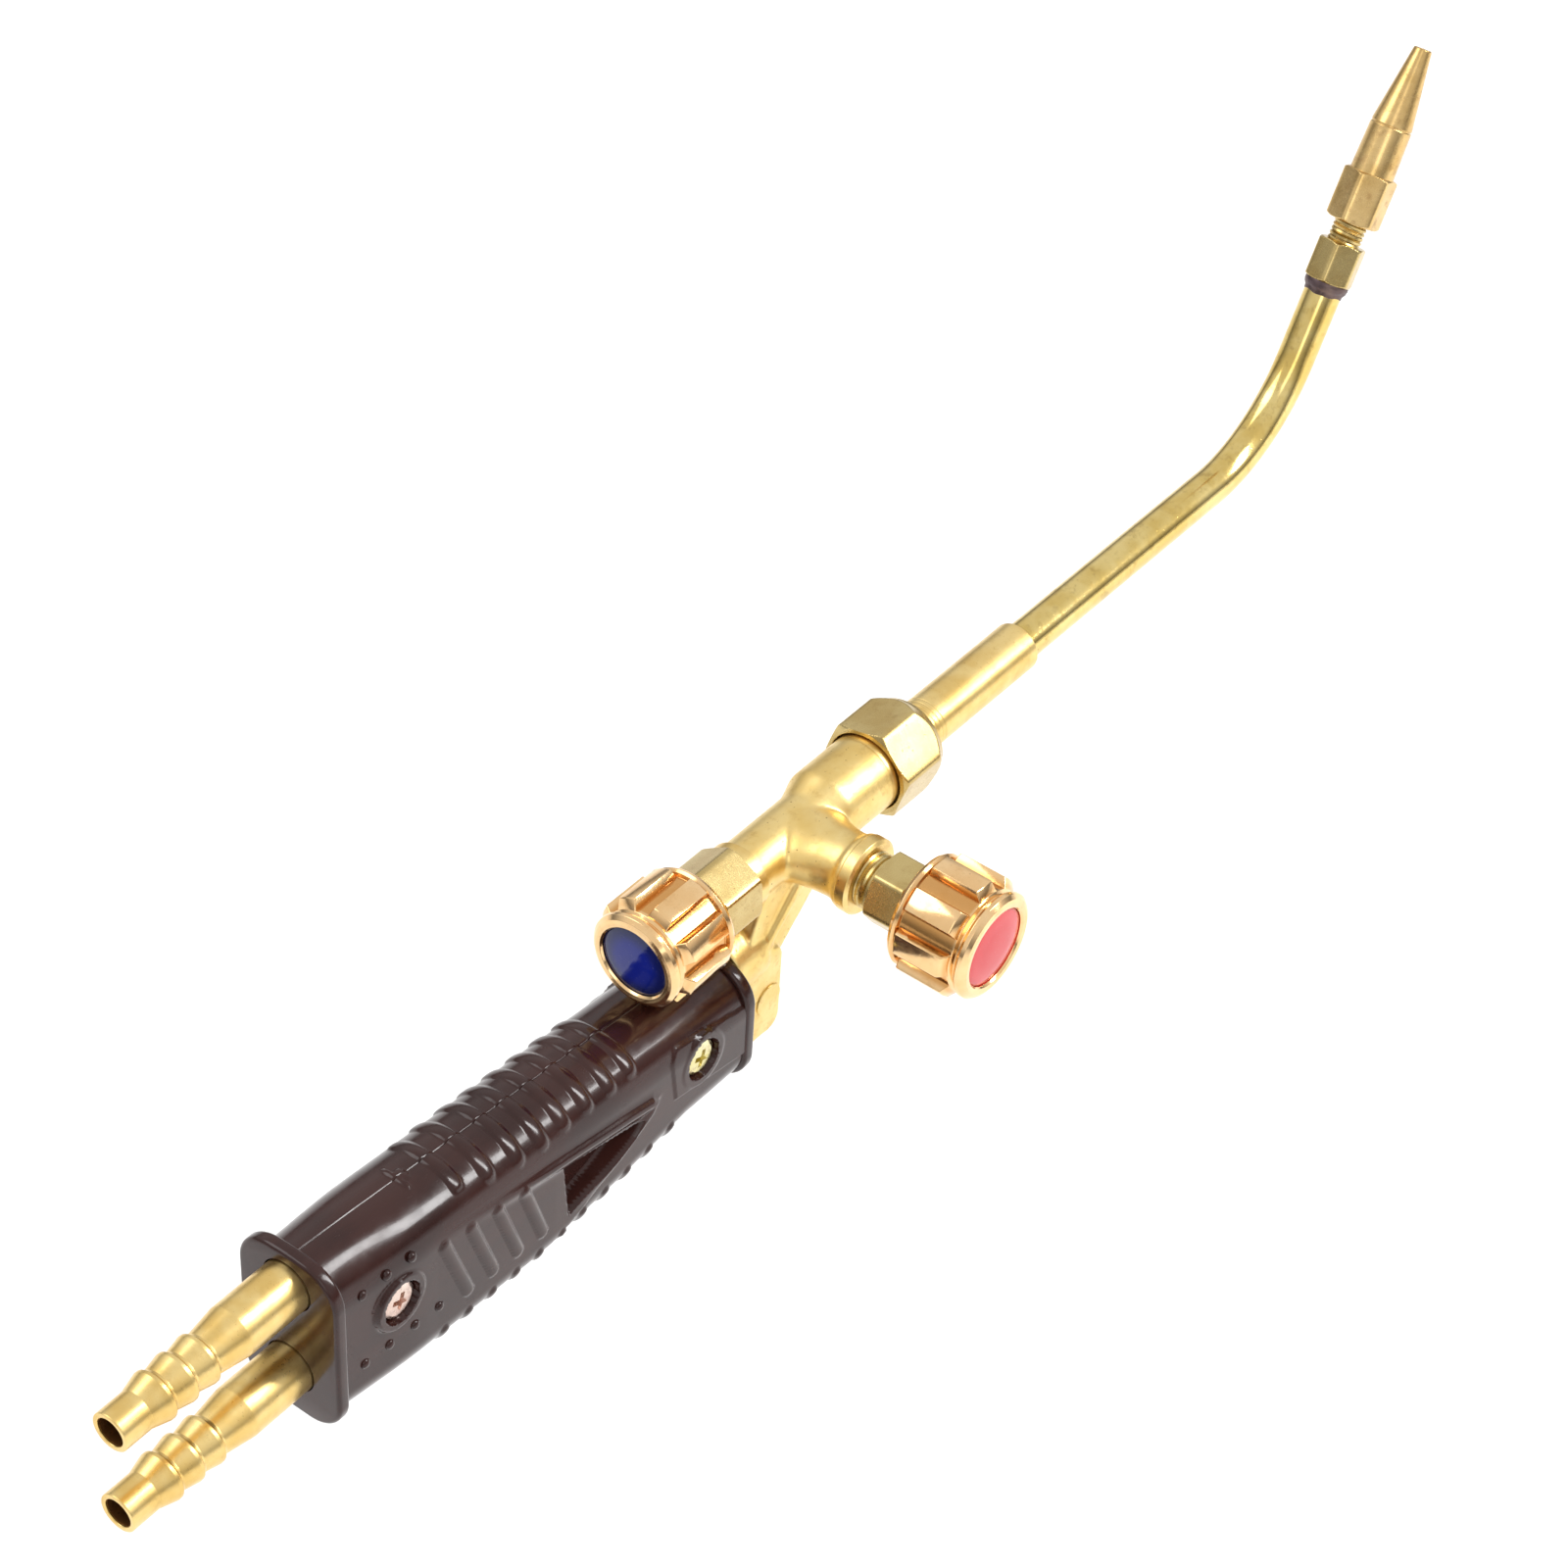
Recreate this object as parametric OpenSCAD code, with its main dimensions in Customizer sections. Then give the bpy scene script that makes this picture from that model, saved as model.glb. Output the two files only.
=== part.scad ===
// Hand-held gas and oxygen torch, built in millimetres.
// +X runs from the hose tails to the tip, +Z is up, and the fuel valve points to -Y.
// The origin is the centre of the oxygen hose tail's open end.

/* [Gas axis] */
// Height of the valve body's axis above the oxygen hose tail
axis_rise = 9; // [7:0.5:11]
// Distance between the two hose tails
tail_gap = 21.5; // [20:0.5:23]

/* [Hose tails] */
// Bore of each hose tail
tail_bore_d = 6; // [5:0.1:6.4]
// Plain leading diameter of each hose tail
tail_lead_d = 8.1; // [7.8:0.1:8.6]
// Diameter over the hose ridges
ridge_d = 10.2; // [9.6:0.1:10.6]
// Diameter of the stem behind the ridges
stem_d = 10.7; // [10:0.1:11]

/* [Handle] */
// Where the handle's rear face is
handle_x = 43; // [41:0.5:45]
// Length of the handle between its flange faces
handle_l = 118.5; // [117:0.5:119]
// Width of the handle between its flat sides
handle_w = 22; // [21.5:0.5:24]
// Thickness of the moulded wall
shell_wall = 2.2; // [1.8:0.1:2.4]
// Number of grip ribs
rib_count = 9; // [5:1:9]

/* [Valves] */
// Across flats of the oxygen bonnet
oxygen_hex_af = 15; // [14:0.5:16]
// Across flats of the fuel bonnet
fuel_hex_af = 14; // [13.5:0.5:15]
// Radius over the lobes of the oxygen knob
oxygen_knob_r = 11.6; // [11:0.1:12]
// Radius over the lobes of the fuel knob
fuel_knob_r = 12.8; // [12:0.1:13.2]
// Number of lobes round each knob
lobe_count = 8; // [6:1:10]
// Diameter of each valve spindle
spindle_d = 5; // [4.6:0.1:5.2]

/* [Neck] */
// Across flats of the union nut
nut_af = 19; // [18:0.5:20]
// Outer diameter of the mixing sleeve
sleeve_d = 10.9; // [10.4:0.1:11]
// Outer diameter of the gooseneck tube
tube_d = 8.4; // [8:0.1:8.6]
// Angle that the gooseneck turns through
bend_angle = 60; // [45:1:65]
// Radius of the gooseneck's centre line
bend_r = 36; // [30:1:45]

/* [Tip] */
// Across flats of the tip adapter
adapter_af = 10; // [9:0.5:11]
// Across flats of the tip
tip_af = 11; // [10:0.5:12]
// Radius of the flame outlet
outlet_r = 0.6; // [0.4:0.1:0.8]

/* [Hidden] */
$fn = 64;
eps = 0.01;
slip = 0.05;

brass = "#d8bb6a";
machined_brass = "#b9a468";
gilt = "#e0a860";
bakelite = "#3a2521";
rubber_black = "#202020";

// Hose tails
first_ridge = 11;
ridge_pitch = 5.2;
ridge_lead = 4.6;
valley_r = 4.4;
stem_start = 29;
stem_end = 54;
pipe_r = 3.5;
pipe_bore_r = 2.2;
socket_depth = 6;

// Handle, as heights of its centre plane at four stations
flange_t = 3;
flange_top = 7.8;
flange_bottom = -32.6;
flange_w = 23.4;
front_x = handle_x + handle_l;
top_rear = 7;
top_front = -5.3;
belly_x = 100;
belly_z = -35.5;
low_rear = -32.6;
low_front = -31.8;
corner_top = 9.5;
corner_low = 8;
rib_pitch = 6.7;
first_rib_x = 72.5;
rib_t = 2.6;
rib_h = 0.9;
screw_rear = [60.2, -11.2];
screw_front = [145.7, -15.6];
screw_head_r = 3.6;
screw_head_t = 1.6;
screw_r = 2;
head_pocket_r = 4.4;
ring_r = 6.2;
ring_h = 0.5;
rear_wall = 4.5;

// Valve body
oxygen_front_z = -11.5;
tongue_x = 138;
block_front = 176;
block_w = 14;
collar_x = 167;
collar_t = 3;
main_r = 6.4;
taper_x = [190, 195];
neck_r = 8.35;
neck_end = 211;
thread_r = 7.8;
body_end = 219;
fuel_x = 185.2;
boss_y = [-16, -19.8];
boss_r = 8;
plug_r = 3.6;
plug_x = 171.6;

// Valves, measured outward from the inner end of the bonnet's hexagon
oxygen_hex_l = 11;
fuel_hex_l = 8.7;
fuel_hex_y = -22.4;
shank_r = 5;
bonnet_thread_r = 6;
shank_l = 6;
spindle_thread_r = 3.5;
thread_run = 3;
seal_at = 5.5;
seal_wire_r = 0.72;
oxygen_knob_l = 18.2;
fuel_knob_l = 17.8;
knob_gap = 0.8;
valve_travel = 2;

// Neck
nut_x = 209.3;
nut_l = 14.4;
nose_x = 214.5;
sleeve_end = 261.3;
tube_start = 249;
bend_corner_x = 354;
tube_bore_r = 2.7;
upper_l = 36.3;
tube_seat = 4;
ring_l = 2.4;
adapter_l = 9;
gap_l = 4.7;
tip_hex_l = 11.3;
tip_cyl_l = 10.9;
tip_cone_l = 17.5;
adapter_thread_r = 3.8;

pipe_run = tongue_x - stem_end;
oxygen_slope = atan(-oxygen_front_z / pipe_run);
tangent_l = bend_r * tan(bend_angle / 2);
spindle_r = spindle_d / 2;

function hex_r(af) = af / 2 / cos(30);
function mix(a, b, t) = a + (b - a) * t;
function top_z(x) = mix(top_rear, top_front, (x - handle_x) / handle_l);

// A solid of revolution along +X, from [x, r] points
module turned(points) {
    rotate([0, 90, 0])
        rotate_extrude()
            polygon([for (p = points) [p[1], p[0]]]);
}

module rod_x(x0, x1, r) {
    translate([x0, 0, 0])
        rotate([0, 90, 0])
            cylinder(h = x1 - x0, r = r);
}

module rod_y(y0, y1, r) {
    translate([0, y0, 0])
        rotate([-90, 0, 0])
            cylinder(h = y1 - y0, r = r);
}

// A rod of length l along +X, then an elbow that turns it upward, then the children from there on;
// the elbow's own rod is wider by widen
module elbow(l, bend, turn, r, widen) {
    rod_x(0, l, r);
    translate([l, 0, bend]) {
        rotate([90, 0, 0])
            rotate([0, 0, -90])
                rotate_extrude(angle = turn)
                    translate([bend, 0])
                        circle(r = r + widen);
        rotate([0, -turn, 0])
            translate([0, 0, -bend])
                children();
    }
}

// A hexagonal bar along +Z with its corners chamfered at both ends
module hex_bar(af, l, chamfer) {
    r = hex_r(af);
    intersection() {
        cylinder(h = l, r = r, $fn = 6);
        rotate_extrude()
            polygon([[0, 0], [r - chamfer, 0], [r + eps, chamfer], [r + eps, l - chamfer],
                [r - chamfer, l], [0, l]]);
    }
}

// Frames in which +Z points out of each valve, with 0 at the inner end of its hexagon
module on_oxygen_valve() {
    translate([collar_x, 0, axis_rise])
        rotate([0, -90, 0])
            children();
}

module on_fuel_valve() {
    translate([fuel_x, fuel_hex_y, axis_rise])
        rotate([90, 0, 0])
            children();
}

// Frame of the gooseneck's upper leg, with +Z along it from the corner of the bend
module on_upper_leg() {
    translate([bend_corner_x, 0, axis_rise])
        rotate([0, 90 - bend_angle, 0])
            children();
}

// ---------- handle ----------

// The handle's outer form, grown by g on every side
module handle_form(g, x0, x1) {
    low_z = mix(low_rear, belly_z, (x0 - handle_x) / (belly_x - handle_x));
    hull() {
        for (s = [[x0, top_z(x0), low_z], [belly_x, top_z(belly_x), belly_z], [x1, top_z(x1), low_front]]) {
            for (side = [-1, 1]) {
                translate([s[0], side * (handle_w / 2 - corner_top), s[1] - corner_top])
                    rotate([0, 90, 0])
                        cylinder(h = 0.1, r = corner_top + g, center = true, $fn = 32);
                translate([s[0], side * (handle_w / 2 - corner_low), s[2] + corner_low])
                    rotate([0, 90, 0])
                        cylinder(h = 0.1, r = corner_low + g, center = true, $fn = 32);
            }
        }
    }
}

// A lip with rounded corners round one end of the handle
module flange(x, top, bottom) {
    hull() {
        for (side = [-1, 1]) {
            for (z = [top - corner_low, bottom + corner_low]) {
                translate([x, side * (flange_w / 2 - corner_low), z])
                    rotate([0, 90, 0])
                        cylinder(h = flange_t, r = corner_low, $fn = 32);
            }
        }
    }
}

module grip_ribs() {
    intersection() {
        handle_form(rib_h, handle_x + 1, front_x - 1);
        for (i = [0 : rib_count - 1]) {
            x = first_rib_x + i * rib_pitch;
            translate([x, -handle_w, top_z(x) - 11])
                cube([rib_t, 2 * handle_w, 20]);
        }
    }
}

module screw_boss(at, y0, y1) {
    translate([at[0], 0, at[1]])
        rod_y(y0, y1, screw_r + 1.8);
}

// Everything of one half shell before it is cut at the seam, with side -1 for the right
module half_shell(side) {
    flat_y = handle_w / 2;
    difference() {
        union() {
            difference() {
                union() {
                    handle_form(0, handle_x + 1, front_x - 1);
                    grip_ribs();
                    flange(handle_x, flange_top, flange_bottom);
                    flange(front_x - flange_t, top_front + 0.8, low_front - 0.6);
                }
                handle_form(-shell_wall, handle_x + rear_wall, front_x + 1);
            }
            for (at = [screw_rear, screw_front]) {
                translate([at[0], 0, at[1]])
                    rod_y(side > 0 ? flat_y - 1 : -flat_y - ring_h,
                        side > 0 ? flat_y + ring_h : 1 - flat_y, ring_r);
            }
            screw_boss(screw_rear, side > 0 ? 0 : 1 - flat_y, side > 0 ? flat_y - 1 : 0);
        }
        // seam
        translate([0, side > 0 ? -50 : 0, -60])
            cube([250, 50, 120]);
        // holes for the two stems
        for (z = [0, -tail_gap]) {
            translate([0, 0, z])
                rod_x(handle_x - 1, handle_x + 12, stem_d / 2 + 0.1);
        }
        for (at = [screw_rear, screw_front]) {
            translate([at[0], 0, at[1]])
                rod_y(-20, 20, screw_r + 0.1);
            // head pocket on the right, hexagonal nut pocket on the left
            translate([at[0], side > 0 ? flat_y - 2.6 : -flat_y - 1, at[1]])
                rotate([-90, 0, 0])
                    cylinder(h = side > 0 ? 5 : 1 + screw_head_t, r = side > 0 ? hex_r(7.1) : head_pocket_r,
                        $fn = side > 0 ? 6 : 48);
        }
    }
}

// Raised bars, studs and the leaf-shaped window on each flat side
module side_relief(side) {
    y0 = side * handle_w / 2;
    for (i = [0 : 3]) {
        translate([72.8 + 7.2 * i, y0, -7.2 - 1.1 * i])
            rotate([0, 19, 0])
                translate([-1.3, -0.6, -16.5])
                    cube([2.6, 1.2, 16.5]);
    }
    for (i = [0 : 2]) {
        translate([51.8 + 6 * i, y0, -2.4])
            sphere(r = 1.2);
    }
    for (i = [0 : 3]) {
        translate([51.6 + 6.2 * i, y0, -20.8])
            sphere(r = 1.2);
    }
}

module window_cut(side) {
    y0 = side * handle_w / 2;
    translate([0, y0 + side * 1, 0])
        rotate([90, 0, 0])
            linear_extrude(height = 4, center = true)
                polygon([[104.3, -12.2], [127.5, -18.3], [118, -20.6], [106.3, -22.4]]);
}

module handle_shell_right() {
    color(bakelite)
        difference() {
            union() {
                half_shell(-1);
                side_relief(-1);
            }
            window_cut(-1);
        }
}

module handle_shell_left() {
    color(bakelite)
        difference() {
            union() {
                half_shell(1);
                side_relief(1);
            }
            window_cut(1);
        }
}

module handle_screw(at) {
    y_head = -handle_w / 2 + screw_head_t;
    translate([at[0], 0, at[1]])
        difference() {
            union() {
                rod_y(y_head - screw_head_t, y_head, screw_head_r);
                rod_y(y_head - eps, handle_w / 2 + 0.2, screw_r);
            }
            for (a = [0, 90]) {
                translate([0, y_head - screw_head_t, 0])
                    rotate([0, a + 25, 0])
                        cube([4.4, 1.8, 0.9], center = true);
            }
        }
}

module handle_screw_front() {
    color("#c9b95a") handle_screw(screw_front);
}

module handle_screw_rear() {
    color("#c99a8a") handle_screw(screw_rear);
}

module handle_nuts() {
    color("silver")
        for (at = [screw_rear, screw_front]) {
            translate([at[0], handle_w / 2 - 2.6, at[1]])
                rotate([-90, 0, 0])
                    difference() {
                        cylinder(h = 2.6, r = hex_r(7), $fn = 6);
                        translate([0, 0, -1])
                            cylinder(h = 5, r = screw_r);
                    }
        }
}

// ---------- gas supply ----------

module hose_tail(slope) {
    ridges = [for (i = [0 : 2]) first_ridge + i * ridge_pitch];
    difference() {
        turned(concat([[0, 0], [0, tail_lead_d / 2], [first_ridge - ridge_lead, tail_lead_d / 2]],
            [for (x = ridges) each [[x - 0.8, ridge_d / 2], [x, ridge_d / 2], [x + 0.5, valley_r],
                [x + 0.8, valley_r]]],
            [[stem_start, stem_d / 2], [stem_end, stem_d / 2], [stem_end, 0]]));
        rod_x(-1, stem_end - socket_depth, tail_bore_d / 2);
        on_pipe(slope)
            rod_x(-socket_depth, 2, pipe_r);
    }
}

module oxygen_hose_tail() {
    color(brass) hose_tail(oxygen_slope);
}

module fuel_hose_tail() {
    color(brass)
        translate([0, 0, -tail_gap])
            hose_tail(0);
}

// Frame of a feed pipe, with +X along it from the hose tail's inner end
module on_pipe(slope) {
    translate([stem_end, 0, 0])
        rotate([0, slope, 0])
            children();
}

module feed_pipe(slope) {
    on_pipe(slope)
        difference() {
            rod_x(-socket_depth, pipe_run / cos(slope) + socket_depth, pipe_r - slip);
            rod_x(-socket_depth - 1, pipe_run / cos(slope) + socket_depth + 1, pipe_bore_r);
        }
}

module oxygen_feed_pipe() {
    color(brass) feed_pipe(oxygen_slope);
}

module fuel_feed_pipe() {
    color(brass)
        translate([0, 0, -tail_gap])
            feed_pipe(0);
}

// ---------- valve body ----------

module body_outside() {
    // main barrel, neck and thread
    translate([0, 0, axis_rise])
        turned([[collar_x, 0], [collar_x, 6.6], [collar_x + 0.5, 7.1], [collar_x + collar_t, 7.1],
            [collar_x + collar_t, main_r], [taper_x[0], main_r], [taper_x[0] + 1.6, main_r + 0.9],
            [taper_x[1] - 1.8, main_r + 1.2], [taper_x[1], neck_r], [neck_end, neck_r],
            [neck_end, thread_r], [body_end, thread_r], [body_end, 0]]);
    // fuel valve boss, flared where it leaves the barrel but no taller than it
    translate([fuel_x, 0, axis_rise])
        intersection() {
            rotate([90, 0, 0])
                rotate_extrude()
                    polygon([[0, 0], [9.6, 0], [9.4, 7], [7.6, 11.5], [7.1, -boss_y[0]], [boss_r, -boss_y[0]],
                        [boss_r, -boss_y[1] - 0.6], [boss_r - 0.6, -boss_y[1]], [0, -boss_y[1]]]);
            rotate([90, 0, 90])
                linear_extrude(height = 30, center = true)
                    polygon([[1, -main_r], [1, main_r], [-8, main_r], [boss_y[0], boss_r], [boss_y[1] - 1, boss_r],
                        [boss_y[1] - 1, -boss_r], [boss_y[0], -boss_r], [-8, -main_r]]);
        }
    // block that closes the handle's front, with the tongue inside the handle
    translate([front_x + 0.1, -block_w / 2, -31])
        cube([block_front - front_x - 0.1, block_w, 25]);
    translate([front_x + 0.1, 0, -10])
        rotate([0, 90, 0])
            cylinder(h = block_front - front_x - 1.1, r = block_w / 2 + 0.4);
    translate([tongue_x, -5, -27])
        cube([front_x + 1 - tongue_x, 10, 18]);
    translate([0, 0, oxygen_front_z])
        rod_x(tongue_x, tongue_x + socket_depth + 2, 4.3);
    // arm that carries the block, under the barrel and the boss
    hull() {
        translate([170, 0, -13])
            rod_y(-6.4, 5, 5.6);
        translate([fuel_x - 2.5, 0, 3.5])
            rod_y(-9.5, 4.5, 6.5);
    }
}

module valve_body() {
    color(brass)
        difference() {
            body_outside();
            translate([0, 0, axis_rise]) {
                rod_x(collar_x - 1, collar_x + shank_l, shank_r);
                rod_x(collar_x + shank_l - eps, 200, 4);
                rod_x(200 - eps, body_end + 1, 5.2);
                translate([nose_x - eps, 0, 0])
                    rotate([0, 90, 0])
                        cylinder(h = body_end - nose_x + 2 * eps, r1 = 5.2, r2 = 7.2);
            }
            on_fuel_valve() {
                translate([0, 0, -shank_l])
                    cylinder(h = 10, r = shank_r);
                translate([0, 0, -9.5])
                    cylinder(h = 4, r = 3);
                translate([0, 0, -18.5])
                    cylinder(h = 10, r = 1);
            }
            // pipe sockets and the gas ways along the block
            on_pipe(oxygen_slope)
                rod_x(pipe_run - 2, pipe_run / cos(oxygen_slope) + socket_depth, pipe_r);
            translate([0, 0, -tail_gap])
                rod_x(tongue_x - 1, tongue_x + socket_depth, pipe_r);
            for (z = [oxygen_front_z, -tail_gap]) {
                translate([0, 0, z])
                    rod_x(tongue_x + socket_depth - 1, plug_x, 1.6);
            }
            // drillings up to the two valves
            translate([plug_x - 2, 0, oxygen_front_z])
                rotate([0, 18, 0])
                    cylinder(h = axis_rise - oxygen_front_z, r = 1.5);
            translate([plug_x - 3, -4, -tail_gap])
                rotate([18, 25, 0])
                    cylinder(h = 31, r = 1.2);
            translate([screw_front[0], 0, screw_front[1]])
                rod_y(-10, 10, screw_r + 0.2);
            translate([plug_x, 0, -tail_gap])
                rod_y(-block_w / 2 - 1, -block_w / 2 + 2, plug_r);
        }
}

module cross_drill_plug() {
    color(brass)
        translate([plug_x, 0, -tail_gap])
            rod_y(-block_w / 2 - 0.2, -block_w / 2 + 2, plug_r - 0.02);
}

module injector() {
    color(machined_brass)
        translate([0, 0, axis_rise])
            difference() {
                turned([[179, 0], [179, 3.96], [198, 3.96], [199, 3.2], [206, 2.6], [210, 1.5], [210, 0]]);
                rod_x(178, 211, 0.7);
                translate([178.9, 0, 0])
                    rotate([0, 90, 0])
                        cylinder(h = 3.6, r1 = 3, r2 = 0.7);
            }
}

// ---------- valves ----------

// A bonnet with a hexagon and a threaded neck of length neck_l below it
module bonnet(af, hex_l, neck_l) {
    difference() {
        union() {
            hex_bar(af, hex_l, 0.9);
            if (neck_l > 0)
                translate([0, 0, -neck_l])
                    cylinder(h = neck_l + 1, r = bonnet_thread_r);
            translate([0, 0, -shank_l])
                cylinder(h = shank_l + 1, r = shank_r - 0.02);
        }
        translate([0, 0, -shank_l - 1])
            cylinder(h = shank_l + 1 + thread_run, r = spindle_thread_r + slip);
        cylinder(h = hex_l + 1, r = spindle_r + slip);
        translate([0, 0, seal_at - seal_wire_r])
            cylinder(h = 2 * seal_wire_r, r = spindle_r + 2 * seal_wire_r + 0.06);
    }
}

module spindle_seal() {
    translate([0, 0, seal_at])
        rotate_extrude()
            translate([spindle_r + seal_wire_r + 0.03, 0])
                circle(r = seal_wire_r - 0.01);
}

module spindle(hex_l) {
    top = hex_l + knob_gap + 9;
    difference() {
        rotate_extrude()
            polygon([[0, -11.4], [0.4, -11.4], [0.95, -9.5], [2, -9.3], [2, -5], [spindle_thread_r, -5],
                [spindle_thread_r, thread_run - valve_travel - 0.2],
                [spindle_r, thread_run - valve_travel - 0.2], [spindle_r, top], [0, top]]);
        translate([0, 0, top - 7])
            cylinder(h = 8, r = 1.5);
    }
}

// A round knob with raised lobes, from z0 to z0 + l, with the badge in its outer face
module knob(r, l, z0) {
    root_r = r - 1.5;
    rim_r = r * 0.85;
    lobe_w = 2 * r * sin(180 / lobe_count) * 0.62;
    translate([0, 0, z0])
        difference() {
            union() {
                rotate_extrude()
                    polygon([[0, 0], [r * 0.87, 0], [r * 0.9, 0.6], [r * 0.9, 1.8], [root_r, 2.4],
                        [root_r, l - 4.6], [rim_r, l - 3.4], [rim_r + 0.5, l - 2.6], [rim_r + 0.5, l - 1],
                        [rim_r - 0.4, l], [0, l]]);
                for (i = [0 : lobe_count - 1]) {
                    rotate([0, 0, i * 360 / lobe_count])
                        intersection() {
                            translate([0, -lobe_w / 2, 2.2])
                                cube([r + 1, lobe_w, l - 6.4]);
                            rotate_extrude()
                                polygon([[0, 2], [r - 0.6, 2], [r, 2.8], [r, l - 6], [root_r, l - 4],
                                    [0, l - 4]]);
                        }
                }
            }
            // hub bore, screw seat and badge recess
            translate([0, 0, -1])
                cylinder(h = 9 + 1 + slip, r = spindle_r + slip);
            cylinder(h = l, r = 1.6);
            translate([0, 0, l - 5])
                cylinder(h = 6, r = 3.2);
            translate([0, 0, l - 1.6])
                cylinder(h = 2, r = rim_r * 0.77);
        }
}

module knob_screw(z_face) {
    translate([0, 0, z_face - 5]) {
        cylinder(h = 2, r = 2.8);
        translate([0, 0, -10])
            cylinder(h = 10.5, r = 1.45);
    }
}

// The badge is a slightly domed disc seated in the face recess
module badge(r, z_face) {
    disc_r = r * 0.85 * 0.77 - 0.1;
    translate([0, 0, z_face - 1.6])
        rotate_extrude()
            polygon(concat([[0, 0], [disc_r, 0]],
                [for (i = [0 : 6]) [disc_r * cos(i * 15), 0.9 + 0.7 * sin(i * 15)]]));
}

module oxygen_bonnet() {
    color(machined_brass) on_oxygen_valve() bonnet(oxygen_hex_af, oxygen_hex_l, 0);
}

module oxygen_spindle_seal() {
    color(rubber_black) on_oxygen_valve() spindle_seal();
}

module oxygen_spindle() {
    color("silver") on_oxygen_valve() spindle(oxygen_hex_l);
}

module oxygen_knob() {
    color(gilt) on_oxygen_valve() knob(oxygen_knob_r, oxygen_knob_l, oxygen_hex_l + knob_gap);
}

module oxygen_knob_screw() {
    color("silver") on_oxygen_valve() knob_screw(oxygen_hex_l + knob_gap + oxygen_knob_l);
}

module oxygen_badge() {
    color("#10207e") on_oxygen_valve() badge(oxygen_knob_r, oxygen_hex_l + knob_gap + oxygen_knob_l);
}

module fuel_bonnet() {
    color(machined_brass) on_fuel_valve() bonnet(fuel_hex_af, fuel_hex_l, boss_y[1] - fuel_hex_y);
}

module fuel_spindle_seal() {
    color(rubber_black) on_fuel_valve() spindle_seal();
}

module fuel_spindle() {
    color("silver") on_fuel_valve() spindle(fuel_hex_l);
}

module fuel_knob() {
    color(gilt) on_fuel_valve() knob(fuel_knob_r, fuel_knob_l, fuel_hex_l + knob_gap);
}

module fuel_knob_screw() {
    color("silver") on_fuel_valve() knob_screw(fuel_hex_l + knob_gap + fuel_knob_l);
}

module fuel_badge() {
    color("#d43a3a") on_fuel_valve() badge(fuel_knob_r, fuel_hex_l + knob_gap + fuel_knob_l);
}

// ---------- neck and tip ----------

module union_nut() {
    color(machined_brass)
        translate([nut_x, 0, axis_rise])
            rotate([0, 90, 0])
                difference() {
                    intersection() {
                        rotate([0, 0, 17])
                            cylinder(h = nut_l, r = hex_r(nut_af), $fn = 6);
                        rotate_extrude()
                            polygon([[0, 0], [10.4, 0], [11.1, 0.6], [11.1, nut_l - 4], [9.2, nut_l], [0, nut_l]]);
                    }
                    translate([0, 0, -1])
                        cylinder(h = 3, r = neck_r + 0.2);
                    translate([0, 0, 1])
                        cylinder(h = nut_l - 3.4, r = thread_r + 0.1);
                    cylinder(h = nut_l + 1, r = sleeve_d / 2 + 0.1);
                }
}

module mixing_sleeve() {
    shoulder = nut_x + nut_l - 2.4;
    color(brass)
        translate([0, 0, axis_rise])
            difference() {
                turned([[nose_x + 0.4, 0], [nose_x + 0.4, 5.1], [body_end + 0.1, 7], [shoulder - 0.1, 7],
                    [shoulder - 0.1, sleeve_d / 2], [sleeve_end - 0.4, sleeve_d / 2],
                    [sleeve_end, sleeve_d / 2 - 0.4], [sleeve_end, 0]]);
                rod_x(nose_x - 1, tube_start + eps, 2);
                rod_x(tube_start, sleeve_end + 1, tube_d / 2);
            }
}

module bent_tube(r, widen) {
    translate([tube_start, 0, axis_rise])
        elbow(bend_corner_x - tangent_l - tube_start, bend_r, bend_angle, r, widen)
            rod_x(0, upper_l + ring_l + tube_seat - tangent_l, r);
}

module gooseneck_tube() {
    color(brass)
        difference() {
            bent_tube(tube_d / 2, 0);
            bent_tube(tube_bore_r, 0.1);
        }
}

module braze_ring() {
    color("#4a3c42")
        on_upper_leg()
            translate([0, 0, upper_l])
                rotate_extrude()
                    polygon([[tube_d / 2, 0], [tube_d / 2 + 0.2, 0], [adapter_af / 2 - 0.1, ring_l * 0.6],
                        [adapter_af / 2 - 0.1, ring_l], [tube_d / 2, ring_l]]);
}

module tip_adapter() {
    z0 = upper_l + ring_l;
    color(machined_brass)
        on_upper_leg()
            translate([0, 0, z0])
                difference() {
                    union() {
                        rotate([0, 0, 12])
                            hex_bar(adapter_af, adapter_l, 0.7);
                        cylinder(h = adapter_l + gap_l + 5, r = adapter_thread_r);
                    }
                    translate([0, 0, -1])
                        cylinder(h = 5, r = tube_d / 2);
                    cylinder(h = adapter_l + gap_l + 6, r = 1.6);
                }
}

module tip_nozzle() {
    z0 = upper_l + ring_l + adapter_l + gap_l;
    cyl_end = tip_hex_l + tip_cyl_l;
    full = cyl_end + tip_cone_l;
    color(brass)
        on_upper_leg()
            translate([0, 0, z0])
                difference() {
                    union() {
                        rotate([0, 0, 2])
                            hex_bar(tip_af, tip_hex_l, 0.8);
                        rotate_extrude()
                            polygon([[0, tip_hex_l - 1], [4.95, tip_hex_l - 1], [4.7, cyl_end - 0.3],
                                [4.5, cyl_end - 0.1], [4.62, cyl_end], [1.9, full], [0, full]]);
                    }
                    translate([0, 0, -1])
                        cylinder(h = 6.2, r = adapter_thread_r + slip);
                    cylinder(h = full - 8, r = 1.5);
                    cylinder(h = full + 1, r = outlet_r);
                }
}

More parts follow.
